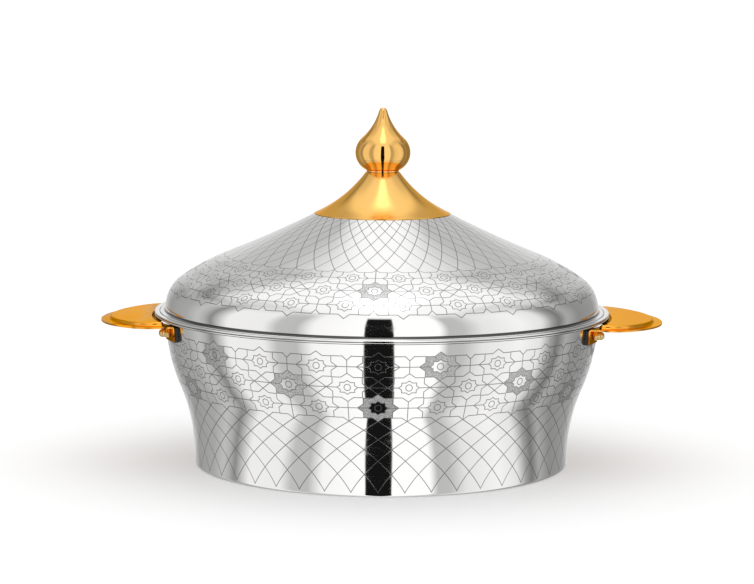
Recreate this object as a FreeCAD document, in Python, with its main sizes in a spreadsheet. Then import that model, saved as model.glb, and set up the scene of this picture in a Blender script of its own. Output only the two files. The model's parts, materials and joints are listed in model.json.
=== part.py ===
"""Insulated chapati casserole, millimetres.

A double-walled steel pan with two gold handles and a double-walled lid that lifts off.
The origin is the middle of the foot, where it stands on the table.  +Z is up and the
handles lie along X.  Every size lives in the spreadsheet "Size"; the sketches and
placements are bound to its cells, so a changed cell moves all that depends on it.
"""
import FreeCAD, Part
import math
import os
import re
import Sketcher
from FreeCAD import Placement, Rotation, Vector

SIZES = {
    # A number is a size that stands by itself.  A text is worked out from other sizes,
    # so what fits, seats or lines up follows them.
    # sheet steel and fits
    "sheet": 0.6,               # wall of every steel pressing
    "hem": "2 * sheet",         # folded flat
    "fit_gap": 0.1,             # between pieces of one body
    "lid_gap": 0.35,            # between the lid's edge and the raised ring
    "behind_sheet": "sheet + fit_gap",
    # outer shell of the pan
    "rim_radius": 140,
    "lip_height": 92.8,         # underside of the rim
    "lip_width": 6.8,           # rim's edge to the neck of the wall
    "neck_radius": "rim_radius - lip_width",
    "neck_bend": 0.8,
    "neck_height": "lip_height - neck_bend - fit_gap",
    "wall_flare": 17.7,         # neck to waist
    "waist_radius": "neck_radius - wall_flare",
    "waist_height": 6.2,
    "wall_sweep": "((neck_height - waist_height)^2 + wall_flare^2) / (4 * wall_flare)",
    "wall_swing": "asin((neck_height - waist_height) / 2 / wall_sweep)",
    "foot_flange_width": 8.5,   # turned in under the base plate
    "foot_flange_radius": "waist_radius - foot_flange_width",
    "foot_bend": 1.4,
    # rim
    "rim_top": "lip_height + 2 * hem + fit_gap / 2",
    "rim_ring_width": 2.95,     # raised ring outside the lid's seat
    "ring_radius": "rim_radius - rim_ring_width",
    "seat_drop": 1.1,           # lid's seat below the top of that ring
    "seat_height": "rim_top - seat_drop",
    "rim_round": "(hem - fit_gap) / 2",
    # inner pan
    "pan_inset": 12.4,          # neck to the pan's mouth, room for the foam
    "mouth_radius": "neck_radius - pan_inset",
    "mouth_bend": 3,
    "floor_height": 12,
    "pan_draft": 18.8,          # mouth to floor
    "floor_radius": "mouth_radius - pan_draft",
    "floor_bend": 10,
    "pan_slope": "atan(pan_draft / (seat_height - floor_height))",
    # base plate
    "base_sheet": 0.8,
    "base_rise": 2.4,           # panel above its seat
    "base_seat": "sheet + fit_gap",
    "base_rim_width": 16.5,
    "base_panel_radius": "waist_radius - base_rim_width",
    "base_slope": 4,
    "bead_radius": 62,
    "bead_width": 6,
    "bead_depth": 1.2,
    # lid
    "lid_flange_radius": "ring_radius - lid_gap",
    "lid_flange_bottom": "seat_height + fit_gap",
    "lid_flange_top": "lid_flange_bottom + hem",
    "lid_flange_width": 3.3,
    "lid_wall_radius": "lid_flange_radius - lid_flange_width",
    "lid_foot_bend": 1.3,
    "lid_hem_radius": "lid_wall_radius + lid_foot_bend + fit_gap",
    "lid_wall_rise": 1.95,      # upright wall above the flange
    "lid_wall_top": "lid_flange_top + lid_wall_rise",
    "shoulder_radius": 21,
    "shoulder_angle": 56,       # from upright, where the shoulder meets the dome
    "dome_radius": 155,
    "dome_angle": 68,           # from upright, where the dome meets the sweep
    "brow_radius": ("lid_wall_radius - shoulder_radius * (1 - cos(shoulder_angle))"
                    " - dome_radius * (cos(shoulder_angle) - cos(dome_angle))"),
    "brow_height": ("lid_wall_top + shoulder_radius * sin(shoulder_angle)"
                    " + dome_radius * (sin(dome_angle) - sin(shoulder_angle))"),
    "sweep_radius": 650,        # hollow sweep up to the peak
    "cone_foot_radius": 42,
    "cone_lap": 1.6,            # the sweep goes on under the cone's foot
    "sweep_top_radius": "cone_foot_radius - cone_lap",
    "sweep_top_angle": "acos(cos(dome_angle) + (brow_radius - sweep_top_radius) / sweep_radius)",
    "sweep_top_height": "brow_height + sweep_radius * (sin(dome_angle) - sin(sweep_top_angle))",
    "peak_flat_radius": 14,
    "peak_bend": 12,
    "peak_top": "sweep_top_height + (sweep_top_radius - peak_flat_radius) / tan(sweep_top_angle)",
    # liner and seal of the lid
    "plug_gap": 3.2,            # between the plug and the pan's mouth
    "plug_radius": "mouth_radius - plug_gap",
    "plug_draft": 1.2,
    "plug_depth": 8.8,
    "plug_width": 7,
    "plug_bend": 2.6,
    "ceiling_step": 1.2,
    "ceiling_radius": "plug_radius - plug_draft - plug_width - ceiling_step",
    "ceiling_drop": 2.2,        # edge of the ceiling below the flange
    "ceiling_rise": 9,
    "ceiling_top": "lid_flange_bottom - ceiling_drop + ceiling_rise",
    "ceiling_flat": 8.7,        # unbent at its middle and at its edge
    "ceiling_slope": "atan(2 * ceiling_rise / ceiling_radius)",
    "ceiling_bend": "(ceiling_radius / 2 - ceiling_flat) / tan(ceiling_slope / 2)",
    "seal_drop": 2.4,
    "seal_height": 3.2,
    "seal_width": 1.5,
    "seal_draft": 0.3,          # narrower below, to enter easily
    # cone
    "cone_sheet": 0.8,
    "cone_foot_drop": 0.4,      # its outer edge below the end of the sweep
    "cone_foot_height": "sweep_top_height - cone_foot_drop",
    "cone_height": 25.35,
    "cone_top_radius": 10.4,
    "cone_top_height": "cone_foot_height + cone_height",
    "cone_sweep": 78.8,
    "cone_width": "cone_foot_radius - cone_top_radius",
    "cone_chord": "sqrt(cone_width^2 + cone_height^2)",
    "cone_bow": "sqrt(cone_sweep^2 - cone_chord^2 / 4) / cone_chord",
    "cone_centre_radius": "(cone_foot_radius + cone_top_radius) / 2 + cone_bow * cone_height",
    "cone_centre_height": "(cone_foot_height + cone_top_height) / 2 + cone_bow * cone_width",
    # finial
    "finial_foot": "cone_top_height + fit_gap",
    "finial_foot_height": 0.9,
    "finial_foot_radius": 9.92,
    "bulb_sweep": 12,
    "bulb_centre_radius": 4.9,
    "bulb_centre_height": ("finial_foot + finial_foot_height"
                           " + sqrt(bulb_sweep^2 - (finial_foot_radius - bulb_centre_radius)^2)"),
    "spire_sweep": 35.5,
    "spire_top_radius": 2.45,
    "spire_top_rise": 37.4,
    "spire_top_height": "finial_foot + spire_top_rise",
    "spire_tip_rise": 1.9,
    # the spire's arc touches the bulb's and ends at the spire's top
    "spire_leg_x": "spire_top_radius - bulb_centre_radius",
    "spire_leg_y": "spire_top_height - bulb_centre_height",
    "spire_leg": "sqrt(spire_leg_x^2 + spire_leg_y^2)",
    "centres_span": "bulb_sweep + spire_sweep",
    "spire_along": "(centres_span^2 - spire_sweep^2 + spire_leg^2) / (2 * spire_leg)",
    "spire_across": "sqrt(centres_span^2 - spire_along^2)",
    "spire_offset_x": "(spire_along * spire_leg_x + spire_across * spire_leg_y) / spire_leg",
    "spire_offset_y": "(spire_along * spire_leg_y - spire_across * spire_leg_x) / spire_leg",
    # bolt that holds cone and finial
    "bolt_radius": 2.5,
    "bolt_hole": "bolt_radius + fit_gap",
    "bolt_grip": 13,            # thread inside the finial
    "bolt_head_radius": 4.25,
    "bolt_head_height": 3.3,
    "bolt_washer_radius": 7.5,
    "bolt_washer_sheet": 1,
    # handles
    "handle_sheet": 1,
    "handle_length": 33.3,      # tip beyond the rim
    "handle_reach": "rim_radius + handle_length",
    "handle_drop": 2.65,        # top face below the lip, at the rim's edge
    "handle_height": "lip_height - handle_drop",
    "handle_tilt": 1.8,         # the plate falls outward
    "handle_half_width": 55,
    "handle_tip_radius": 64.3,
    "handle_corner_radius": 22,
    "handle_lap": 3.1,          # root inside the rim's edge
    "handle_root_radius": "rim_radius - handle_lap",
    "handle_border": 5.5,
    "panel_side_border": 7.5,
    "panel_half_width": "handle_half_width - panel_side_border",
    "panel_corner_radius": 18,
    "panel_root_border": 2.5,
    "panel_root_radius": "handle_root_radius + panel_root_border",
    "panel_height": 2,
    "panel_slope": 40,
    "panel_round": 0.8,
    "panel_wall": "handle_sheet * (1 - sin(panel_slope)) / cos(panel_slope)",
    "tab_gap": 1.6,             # neck of the wall to a tab, room for the pad
    "tab_face_radius": "neck_radius + tab_gap",
    "tab_inset": 10.2,          # handle's side to a tab's middle line
    "tab_angle": "asin((handle_half_width - tab_inset) / tab_face_radius)",
    "tab_width": 17.4,
    "tab_drop": 9.5,
    "tab_bend": 0.9,
    "tab_lap": 2.4,             # the tab's leg goes on into the plate
    "tab_leg": "handle_root_radius - tab_face_radius - handle_sheet + tab_lap",
    "tab_outer_corner": 3,
    "tab_inner_corner": 6,
    "pad_margin": 0.6,          # the pad stands out round its tab
    "pad_width": "tab_width + 2 * pad_margin",
    "pad_drop": "tab_drop + pad_margin",
    "pad_corner": 2.5,
    "pad_block_depth": 6,       # before the pan's curve is cut from it
    # screws, washers and cap nuts, M3
    "screw_drop": 4.5,
    "screw_radius": 1.5,
    "screw_clearance": 0.2,
    "screw_hole": "screw_radius + screw_clearance",
    "screw_head_radius": 2.75,
    "screw_head_height": 1.9,
    "screw_reach": 4.6,
    "washer_radius": 3.5,
    "washer_sheet": 0.5,
    "screw_seat_gap": 0.4,      # from the shell's curved inside to the flat washer
    "washer_back": "neck_radius - sheet - screw_seat_gap - washer_sheet",
    "head_back": "washer_back - fit_gap / 2 - screw_head_height",
    "foam_room": 1.2,           # round a screw head that stands into the foam
    "nut_seat": "tab_face_radius + handle_sheet + fit_gap / 2",
    "nut_flats": 5.5,
    "nut_corner": "nut_flats / sqrt(3)",
    "nut_hex_height": 2.6,
    "nut_height": 6.5,
    "nut_shoulder": 0.25,
    "nut_dome_radius": "nut_flats / 2 - nut_shoulder",
    "nut_bore_gap": 0.4,        # beyond the screw's end
    "nut_bore_depth": "screw_reach + nut_bore_gap",
}

document = FreeCAD.newDocument("casserole")
sheet = document.addObject("Spreadsheet::Sheet", "Size")
for row, alias in enumerate(SIZES, start=1):
    sheet.set(f"A{row}", alias)
    sheet.setAlias(f"B{row}", alias)
for row, value in enumerate(SIZES.values(), start=1):
    sheet.set(f"B{row}", "=" + value if isinstance(value, str) else str(value))
document.recompute()


# ---- binding ------------------------------------------------------------------------

def bound(text):
    """The expression text with each size's name pointing at its cell."""
    return re.sub(r"[a-z_]+", lambda m: "Size." + m[0] if m[0] in SIZES else m[0], text)


def number(text):
    """What an expression comes to at the present sizes."""
    value = sheet.evalExpression(bound(text))
    return float(getattr(value, "Value", value))


def bind(thing, prop, text):
    thing.setExpression(prop, bound(text))


# ---- drawing an outline -------------------------------------------------------------
# An outline is a closed list of corners and arcs.  corner(x, y) is a sharp one,
# corner(x, y, radius) a rounded one, and arc(radius, turn) bows the side between the
# corners before and after it: turn +1 curves to the left on the way, -1 to the right.

def corner(x, y, rounding=None):
    return ("corner", x, y, rounding)


def arc(radius, turn):
    return ("arc", radius, turn)


def backwards(steps):
    """The same outline walked the other way."""
    turned = [(s[0], s[1], -s[2]) if s[0] == "arc" else s for s in steps]
    return turned[::-1]


def arc_geometry(start, end, radius, turn):
    middle = (start + end) / 2
    chord = end - start
    rise = math.sqrt(max(radius ** 2 - (chord.Length / 2) ** 2, 0))
    left = Vector(-chord.y, chord.x, 0).normalize()
    centre = middle + left * rise * turn
    first, last = (start, end) if turn > 0 else (end, start)
    angles = [math.atan2(p.y - centre.y, p.x - centre.x) for p in (first, last)]
    return Part.ArcOfCircle(Part.Circle(centre, Vector(0, 0, 1), radius), *angles)


def add_datum(sketch, kind, text, *targets):
    index = sketch.addConstraint(Sketcher.Constraint(kind, *targets, number(text)))
    bind(sketch, f"Constraints[{index}]", text)


def pin(sketch, geometry, end, x, y):
    """Hold one point of the sketch at its two distances from the origin."""
    add_datum(sketch, "DistanceX", x, -1, 1, geometry, end)
    add_datum(sketch, "DistanceY", y, -1, 1, geometry, end)


def draw(sketch, steps):
    """Draw a closed outline with every corner, rounding and arc bound to the sheet."""
    corners = [s for s in steps if s[0] == "corner"]
    bows = []
    for place, step in enumerate(steps):
        if step[0] == "corner":
            following = steps[(place + 1) % len(steps)]
            bows.append(following if following[0] == "arc" else None)
    points = [Vector(number(c[1]), number(c[2]), 0) for c in corners]
    count = len(points)
    starts, ends = list(points), points[1:] + points[:1]
    roundings = {}
    for i, (_, x, y, rounding) in enumerate(corners):
        if rounding is None:
            continue
        radius = number(rounding)
        back = (points[i - 1] - points[i]).normalize()
        ahead = (points[(i + 1) % count] - points[i]).normalize()
        reach = radius / math.tan(back.getAngle(ahead) / 2)
        ends[i - 1] = points[i] + back * reach
        starts[i] = points[i] + ahead * reach
        turn = 1 if back.cross(ahead).z < 0 else -1
        roundings[i] = (ends[i - 1], starts[i], radius, turn)
    sides = []
    for i in range(count):
        if bows[i]:
            _, radius, turn = bows[i]
            shape = arc_geometry(starts[i], ends[i], number(radius), turn)
            side = sketch.addGeometry(shape)
            add_datum(sketch, "Radius", radius, side)
            sides.append((side, 1, 2) if turn > 0 else (side, 2, 1))
        else:
            sides.append((sketch.addGeometry(Part.LineSegment(starts[i], ends[i])), 1, 2))
    for i, (_, x, y, rounding) in enumerate(corners):
        before, after = sides[i - 1], sides[i]
        if rounding is None:
            sketch.addConstraint(Sketcher.Constraint(
                "Coincident", before[0], before[2], after[0], after[1]))
            pin(sketch, after[0], after[1], x, y)
            continue
        start, end, radius, turn = roundings[i]
        bend = sketch.addGeometry(arc_geometry(start, end, radius, turn))
        first, last = (1, 2) if turn > 0 else (2, 1)
        sketch.addConstraint(Sketcher.Constraint("Tangent", before[0], before[2], bend, first))
        sketch.addConstraint(Sketcher.Constraint("Tangent", bend, last, after[0], after[1]))
        add_datum(sketch, "Radius", rounding, bend)
        mark = sketch.addGeometry(Part.Point(points[i]), True)
        pin(sketch, mark, 1, x, y)
        sketch.addConstraint(Sketcher.Constraint("PointOnObject", mark, 1, before[0]))
        sketch.addConstraint(Sketcher.Constraint("PointOnObject", mark, 1, after[0]))


def plane_of(body, role):
    return next(f for f in body.Origin.OriginFeatures if f.Role == role)


def sketch_on(body, role, name):
    sketch = body.newObject("Sketcher::SketchObject", name)
    sketch.AttachmentSupport = [(plane_of(body, role), "")]
    sketch.MapMode = "FlatFace"
    return sketch


def turned(name, steps):
    """A body turned about Z from an outline of radius and height."""
    body = document.addObject("PartDesign::Body", name)
    sketch = sketch_on(body, "XZ_Plane", name + "_section")
    draw(sketch, steps)
    document.recompute()
    turning = body.newObject("PartDesign::Revolution", name + "_turning")
    turning.Profile = sketch
    turning.ReferenceAxis = (sketch, ["V_Axis"])
    turning.Angle = 360
    document.recompute()
    return body


def combined(kind, name, base, tool):
    result = document.addObject(kind, name)
    result.Base = base
    result.Tool = tool
    document.recompute()
    return result


# ---- curves that several pieces share --------------------------------------------------
# Each gives the visible face of a pressing, moved into the metal by an inset.

def wall(inset):
    """Waist to neck of the outer shell: two equal arcs, upright at both ends."""
    middle_x = f"(neck_radius + waist_radius) / 2 - ({inset}) * cos(wall_swing)"
    middle_y = f"(neck_height + waist_height) / 2 + ({inset}) * sin(wall_swing)"
    return [corner(f"waist_radius - ({inset})", "waist_height"),
            arc(f"wall_sweep + ({inset})", -1),
            corner(middle_x, middle_y),
            arc(f"wall_sweep - ({inset})", 1),
            corner(f"neck_radius - ({inset})", "neck_height")]


def pan_face(inset):
    """Inside of the pan, from the middle of the floor to the lid's seat."""
    shift = f"({inset}) / cos(pan_slope) - ({inset}) * tan(pan_slope)"
    return [corner("0", f"floor_height - ({inset})"),
            corner(f"floor_radius + {shift}", f"floor_height - ({inset})",
                   f"floor_bend + ({inset})"),
            corner(f"mouth_radius + {shift}", f"seat_height - ({inset})",
                   f"mouth_bend - ({inset})")]


def dome(inset):
    """Outside of the lid, from its upright wall to the sweep under the cone's foot."""
    shoulder_x = ("lid_wall_radius - shoulder_radius"
                  f" + (shoulder_radius - ({inset})) * cos(shoulder_angle)")
    shoulder_y = f"lid_wall_top + (shoulder_radius - ({inset})) * sin(shoulder_angle)"
    brow_x = f"(brow_radius - ({inset}) * cos(dome_angle))"
    brow_y = f"(brow_height - ({inset}) * sin(dome_angle))"
    peak_x = f"(sweep_top_radius - ({inset}) * cos(sweep_top_angle))"
    peak_y = f"(sweep_top_height - ({inset}) * sin(sweep_top_angle))"
    return [corner(f"lid_wall_radius - ({inset})", "lid_wall_top"),
            arc(f"shoulder_radius - ({inset})", 1),
            corner(shoulder_x, shoulder_y),
            arc(f"dome_radius - ({inset})", 1),
            corner(brow_x, brow_y),
            arc(f"sweep_radius + ({inset})", -1),
            corner(peak_x, peak_y)]


def peak(inset):
    """Rounded corner where the sweep under the cone meets the flat peak."""
    shift = f"({inset}) * (1 - sin(sweep_top_angle)) / cos(sweep_top_angle)"
    return [corner(f"peak_flat_radius - {shift}", f"peak_top - ({inset})",
                   f"peak_bend - ({inset})")]


def liner_face(inset):
    """Underside of the lid: skirt of the plug, its rim, and the raised ceiling."""
    rim_height = f"lid_flange_bottom - plug_depth + ({inset})"
    return [corner(f"plug_radius - ({inset})", f"lid_flange_bottom + ({inset})",
                   f"plug_bend / 2 + ({inset})"),
            corner(f"plug_radius - plug_draft - ({inset})", rim_height,
                   f"plug_bend - ({inset})"),
            corner(f"plug_radius - plug_draft - plug_width + ({inset})", rim_height,
                   f"plug_bend - ({inset})"),
            corner(f"ceiling_radius + ({inset})",
                   f"lid_flange_bottom - ceiling_drop + ({inset})",
                   f"plug_bend / 2 + ({inset})"),
            corner("ceiling_radius / 2", f"ceiling_top + ({inset})", "ceiling_bend"),
            corner("0", f"ceiling_top + ({inset})")]


# ---- pan ----------------------------------------------------------------------------

def make_outer_shell(holes):
    """Flared wall with its foot turned in and its rim turned out and folded."""
    hem_start = "ring_radius + sheet + fit_gap"
    hem_top = "lip_height + hem"
    section = [
        corner("foot_flange_radius", "0"),
        corner("waist_radius", "0", "foot_bend"),
        *wall("0"),
        corner("neck_radius", "lip_height", "neck_bend"),
        corner("rim_radius", "lip_height", "rim_round"),
        corner("rim_radius", hem_top, "rim_round"),
        corner(hem_start, hem_top),
        corner(hem_start, "lip_height + sheet"),
        corner("neck_radius - sheet", "lip_height + sheet", "neck_bend + sheet"),
        *backwards(wall("sheet")),
        corner("waist_radius - sheet", "sheet", "foot_bend - sheet"),
        corner("foot_flange_radius", "sheet")]
    return combined("Part::Cut", "outer_shell", turned("shell_pressing", section), holes)


def make_inner_pan():
    """Deep-drawn pan whose flange makes the lid's seat and the raised ring round it."""
    hem_bottom = "rim_top - hem"
    section = [
        *pan_face("0"),
        corner("ring_radius", "seat_height"),
        corner("ring_radius", "rim_top", "rim_round"),
        corner("rim_radius", "rim_top", "rim_round"),
        corner("rim_radius", hem_bottom, "rim_round"),
        corner("ring_radius + sheet", hem_bottom),
        corner("ring_radius + sheet", "seat_height - sheet"),
        *backwards(pan_face("sheet"))]
    return turned("inner_pan", section)


def make_base_plate():
    """Disc that closes the foot: a raised panel with one stamped ring."""
    seat = "base_seat"
    panel = "base_seat + base_rise"
    edge = "waist_radius - foot_bend - fit_gap"
    face = [
        corner("0", panel),
        corner("bead_radius - bead_width", panel, "bead_width / 4"),
        corner("bead_radius - bead_width / 2", f"{panel} - bead_depth", "bead_width / 4"),
        corner("bead_radius + bead_width / 2", f"{panel} - bead_depth", "bead_width / 4"),
        corner("bead_radius + bead_width", panel, "bead_width / 4"),
        corner("base_panel_radius", panel, "base_slope / 2"),
        corner("base_panel_radius + base_slope", seat, "base_slope / 2"),
        corner(edge, seat)]
    back = [(kind, x, f"{y} + base_sheet", r) for kind, x, y, r in face]
    return turned("base_plate", face + backwards(back))


def make_body_foam(rooms):
    """Foam that fills the pan between its two walls and its floor."""
    inset = "behind_sheet"
    bottom = "sheet + base_rise + base_sheet + 2 * fit_gap"
    section = [
        corner("0", bottom),
        corner(f"waist_radius - ({inset})", bottom),
        *wall(inset),
        corner(f"neck_radius - ({inset})", f"seat_height - ({inset})"),
        *backwards(pan_face(inset))]
    return combined("Part::Cut", "body_foam", turned("foam_filling", section), rooms)


# ---- lid ----------------------------------------------------------------------------

def make_lid_shell():
    """Domed cover with a folded flange, sweeping up to a flat peak under the cone."""
    section = [
        corner("lid_hem_radius", "lid_flange_bottom"),
        corner("lid_flange_radius", "lid_flange_bottom", "rim_round"),
        corner("lid_flange_radius", "lid_flange_top", "rim_round"),
        corner("lid_wall_radius", "lid_flange_top", "lid_foot_bend"),
        *dome("0"),
        *peak("0"),
        corner("bolt_hole", "peak_top"),
        corner("bolt_hole", "peak_top - sheet"),
        *peak("sheet"),
        *backwards(dome("sheet")),
        corner("lid_wall_radius - sheet", "lid_flange_top - sheet",
               "lid_foot_bend + sheet"),
        corner("lid_hem_radius", "lid_flange_top - sheet")]
    return turned("lid_shell", section)


def make_lid_liner():
    """Underside of the lid, with a plug that drops into the pan's mouth."""
    edge = "lid_hem_radius - fit_gap"
    section = [
        corner(edge, "lid_flange_bottom"),
        *liner_face("0"),
        *backwards(liner_face("sheet")),
        corner(edge, "lid_flange_bottom + sheet")]
    return turned("lid_liner", section)


def make_lid_foam():
    """Foam between dome and liner, with room for the bolt head at the peak."""
    inset = "behind_sheet"
    room_radius = "bolt_washer_radius + foam_room"
    room_floor = "peak_top - sheet - bolt_washer_sheet - bolt_head_height - foam_room"
    section = [
        corner(f"lid_wall_radius - ({inset})", f"lid_flange_bottom + ({inset})"),
        *dome(inset),
        *peak(inset),
        corner(room_radius, f"peak_top - ({inset})"),
        corner(room_radius, room_floor),
        corner("0", room_floor),
        *backwards(liner_face(inset))]
    return turned("lid_foam", section)


def make_lid_seal():
    """Soft ring stretched round the plug."""
    top = "lid_flange_bottom - seal_drop"
    inside = "plug_radius + fit_gap"
    section = [
        corner(inside, f"{top} - seal_height"),
        corner(f"{inside} + seal_width - seal_draft", f"{top} - seal_height", "seal_width / 3"),
        corner(f"{inside} + seal_width", top, "seal_width / 3"),
        corner(inside, top)]
    return turned("lid_seal", section)


# ---- cone and finial -----------------------------------------------------------------

def make_cone_cap():
    """Trumpet-shaped cap, its foot trimmed to lie on the lid."""
    inner = "(cone_sweep + cone_sheet)"
    inner_foot = "(cone_foot_radius - cone_sheet)"
    inner_top_x = (f"cone_centre_radius - sqrt({inner}^2"
                   " - (cone_centre_height - cone_top_height + cone_sheet)^2)")
    inner_foot_y = f"cone_centre_height - sqrt({inner}^2 - (cone_centre_radius - {inner_foot})^2)"
    below = "cone_foot_height - cone_lap"
    section = [
        corner("bolt_hole", "cone_top_height - cone_sheet"),
        corner(inner_top_x, "cone_top_height - cone_sheet"),
        arc(inner, 1),
        corner(inner_foot, inner_foot_y),
        corner(inner_foot, below),
        corner("cone_foot_radius", below),
        corner("cone_foot_radius", "cone_foot_height"),
        arc("cone_sweep", -1),
        corner("cone_top_radius", "cone_top_height"),
        corner("bolt_hole", "cone_top_height")]
    lid_top = turned("lid_top", [
        corner("0", "lid_wall_top"),
        *dome("-fit_gap"),
        *peak("-fit_gap"),
        corner("0", "peak_top + fit_gap")])
    return combined("Part::Cut", "cone_cap", turned("cone_spinning", section), lid_top)


def make_finial():
    """Onion bulb drawn up into a spire, tapped from below."""
    share = "bulb_sweep / centres_span"
    section = [
        corner("bolt_radius", "finial_foot"),
        corner("finial_foot_radius", "finial_foot"),
        corner("finial_foot_radius", "finial_foot + finial_foot_height"),
        arc("bulb_sweep", 1),
        corner(f"bulb_centre_radius + spire_offset_x * {share}",
               f"bulb_centre_height + spire_offset_y * {share}"),
        arc("spire_sweep", -1),
        corner("spire_top_radius", "spire_top_height"),
        arc("(spire_top_radius^2 + spire_tip_rise^2) / (2 * spire_tip_rise)", 1),
        corner("0", "spire_top_height + spire_tip_rise"),
        corner("0", "finial_foot + bolt_grip + fit_gap"),
        corner("bolt_radius", "finial_foot + bolt_grip + fit_gap")]
    return turned("finial", section)


def make_finial_washer():
    top = "peak_top - sheet - fit_gap / 2"
    section = [
        corner("bolt_hole", f"{top} - bolt_washer_sheet"),
        corner("bolt_washer_radius", f"{top} - bolt_washer_sheet"),
        corner("bolt_washer_radius", top),
        corner("bolt_hole", top)]
    return turned("finial_washer", section)


def make_finial_bolt():
    """Bolt from inside the lid, up through the cone into the finial."""
    shank = "bolt_radius - fit_gap / 2"
    seat = "peak_top - sheet - bolt_washer_sheet - fit_gap"
    section = [
        corner("0", f"{seat} - bolt_head_height"),
        corner("bolt_head_radius", f"{seat} - bolt_head_height", "bolt_head_height / 4"),
        corner("bolt_head_radius", seat),
        corner(shank, seat),
        corner(shank, "finial_foot + bolt_grip"),
        corner("0", "finial_foot + bolt_grip")]
    return turned("finial_bolt", section)


# ---- handles --------------------------------------------------------------------------
# A handle and what fastens it are modelled level, with the plate's top face at zero
# height, and then tilted together.  The left ones are the mirror image of the right.

def group(name, members):
    result = document.addObject("Part::Compound", name)
    result.Links = members
    return result


def mirrored(name, source, normal):
    result = document.addObject("Part::Mirroring", name)
    result.Source = source
    result.Base = Vector(0, 0, 0)
    result.Normal = normal
    return result


ACROSS, ALONG = Vector(0, 1, 0), Vector(1, 0, 0)


def tilt(thing):
    """Hang a level piece at the handle's height and slope."""
    thing.Placement = Placement(Vector(0, 0, 0), Rotation(ACROSS, number("handle_tilt")))
    bind(thing, "Placement.Base.z", "handle_height + rim_radius * sin(handle_tilt)")
    bind(thing, "Placement.Rotation.Angle", "handle_tilt")


def at_tab(name, piece, drop):
    """Lay an upright turned piece outward through a tab, its foot on the middle line."""
    piece.Placement = Placement(Vector(0, 0, 0), Rotation(ACROSS, 90))
    bind(piece, "Placement.Base.z", f"-({drop})")
    swung = group(name + "_swung", [piece])
    swung.Placement = Placement(Vector(0, 0, 0), Rotation(Vector(0, 0, 1), number("tab_angle")))
    bind(swung, "Placement.Rotation.Angle", "tab_angle")
    return swung


def four_times(name, piece, drop):
    """The same piece at all four tabs, as separate solids of one node."""
    front = at_tab(name, piece, drop)
    pair = group(name + "_pair", [front, mirrored(name + "_back", front, ACROSS)])
    tilt(pair)
    result = group(name, [pair, mirrored(name + "_left", pair, ALONG)])
    document.recompute()
    return result


def crescent(body, name, reach, half_width, tip_radius, corner_radius, root_radius):
    """Outline of a handle: round tip, two rounder corners, and a root along the rim."""
    sketch = sketch_on(body, "XY_Plane", name)
    tip_centre = Vector(number(f"{reach} - ({tip_radius})"), 0, 0)
    tip, bend, root = [number(r) for r in (tip_radius, corner_radius, root_radius)]
    bend_y = number(f"{half_width} - ({corner_radius})")
    bend_x = tip_centre.x + math.sqrt((tip - bend) ** 2 - bend_y ** 2)
    centre = Vector(bend_x, bend_y, 0)
    meet = tip_centre + (centre - tip_centre).normalize() * tip
    # where the corner's circle crosses the root's circle, on the side away from the tip
    span = centre.Length
    along = (span ** 2 + root ** 2 - bend ** 2) / (2 * span)
    side = math.sqrt(root ** 2 - along ** 2)
    unit = Vector(centre).normalize()
    root_end = unit * along + Vector(-unit.y, unit.x, 0) * side

    def flip(point):
        return Vector(point.x, -point.y, 0)

    def swing(middle, radius, first, last):
        angles = [math.atan2(p.y - middle.y, p.x - middle.x) for p in (first, last)]
        return Part.ArcOfCircle(Part.Circle(middle, Vector(0, 0, 1), radius), *angles)

    tip_arc = sketch.addGeometry(swing(tip_centre, tip, flip(meet), meet))
    back_arc = sketch.addGeometry(swing(centre, bend, meet, root_end))
    front_arc = sketch.addGeometry(swing(flip(centre), bend, flip(root_end), flip(meet)))
    root_arc = sketch.addGeometry(swing(Vector(0, 0, 0), root, flip(root_end), root_end))
    add_datum(sketch, "Radius", tip_radius, tip_arc)
    add_datum(sketch, "DistanceX", f"{reach} - ({tip_radius})", -1, 1, tip_arc, 3)
    sketch.addConstraint(Sketcher.Constraint("PointOnObject", tip_arc, 3, -1))
    for bend_arc, direction in ((back_arc, ""), (front_arc, "-")):
        add_datum(sketch, "Radius", corner_radius, bend_arc)
        add_datum(sketch, "DistanceY", f"{direction}({half_width} - ({corner_radius}))",
                  -1, 1, bend_arc, 3)
    sketch.addConstraint(Sketcher.Constraint("Tangent", tip_arc, 2, back_arc, 1))
    sketch.addConstraint(Sketcher.Constraint("Tangent", front_arc, 2, tip_arc, 1))
    add_datum(sketch, "Radius", root_radius, root_arc)
    sketch.addConstraint(Sketcher.Constraint("Coincident", root_arc, 3, -1, 1))
    sketch.addConstraint(Sketcher.Constraint("Coincident", root_arc, 2, back_arc, 2))
    sketch.addConstraint(Sketcher.Constraint("Coincident", root_arc, 1, front_arc, 1))
    return sketch


def panel_outline(body, name, inset):
    return crescent(body, name, f"handle_reach - handle_border - ({inset})",
                    f"panel_half_width - ({inset})",
                    f"handle_tip_radius - handle_border - ({inset})",
                    f"panel_corner_radius - ({inset})", f"panel_root_radius + ({inset})")


def pad_feature(body, kind, name, sketch, length, **settings):
    feature = body.newObject("PartDesign::" + kind, name)
    feature.Profile = sketch
    bind(feature, "Length", length)
    for key, value in settings.items():
        setattr(feature, key, value)
    document.recompute()
    return feature


def round_edges(body, name, radius, wanted):
    """Round the edges of the body so far whose middle point and shape are wanted."""
    base = body.Tip
    edges = [f"Edge{i}" for i, edge in enumerate(base.Shape.Edges, start=1) if wanted(edge)]
    rounding = body.newObject("PartDesign::Fillet", name)
    rounding.Base = (base, edges)
    bind(rounding, "Radius", radius)
    document.recompute()
    return rounding


def level(edge, height):
    box = edge.BoundBox
    return abs(box.ZMin - height) < 0.01 and abs(box.ZMax - height) < 0.01


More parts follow.
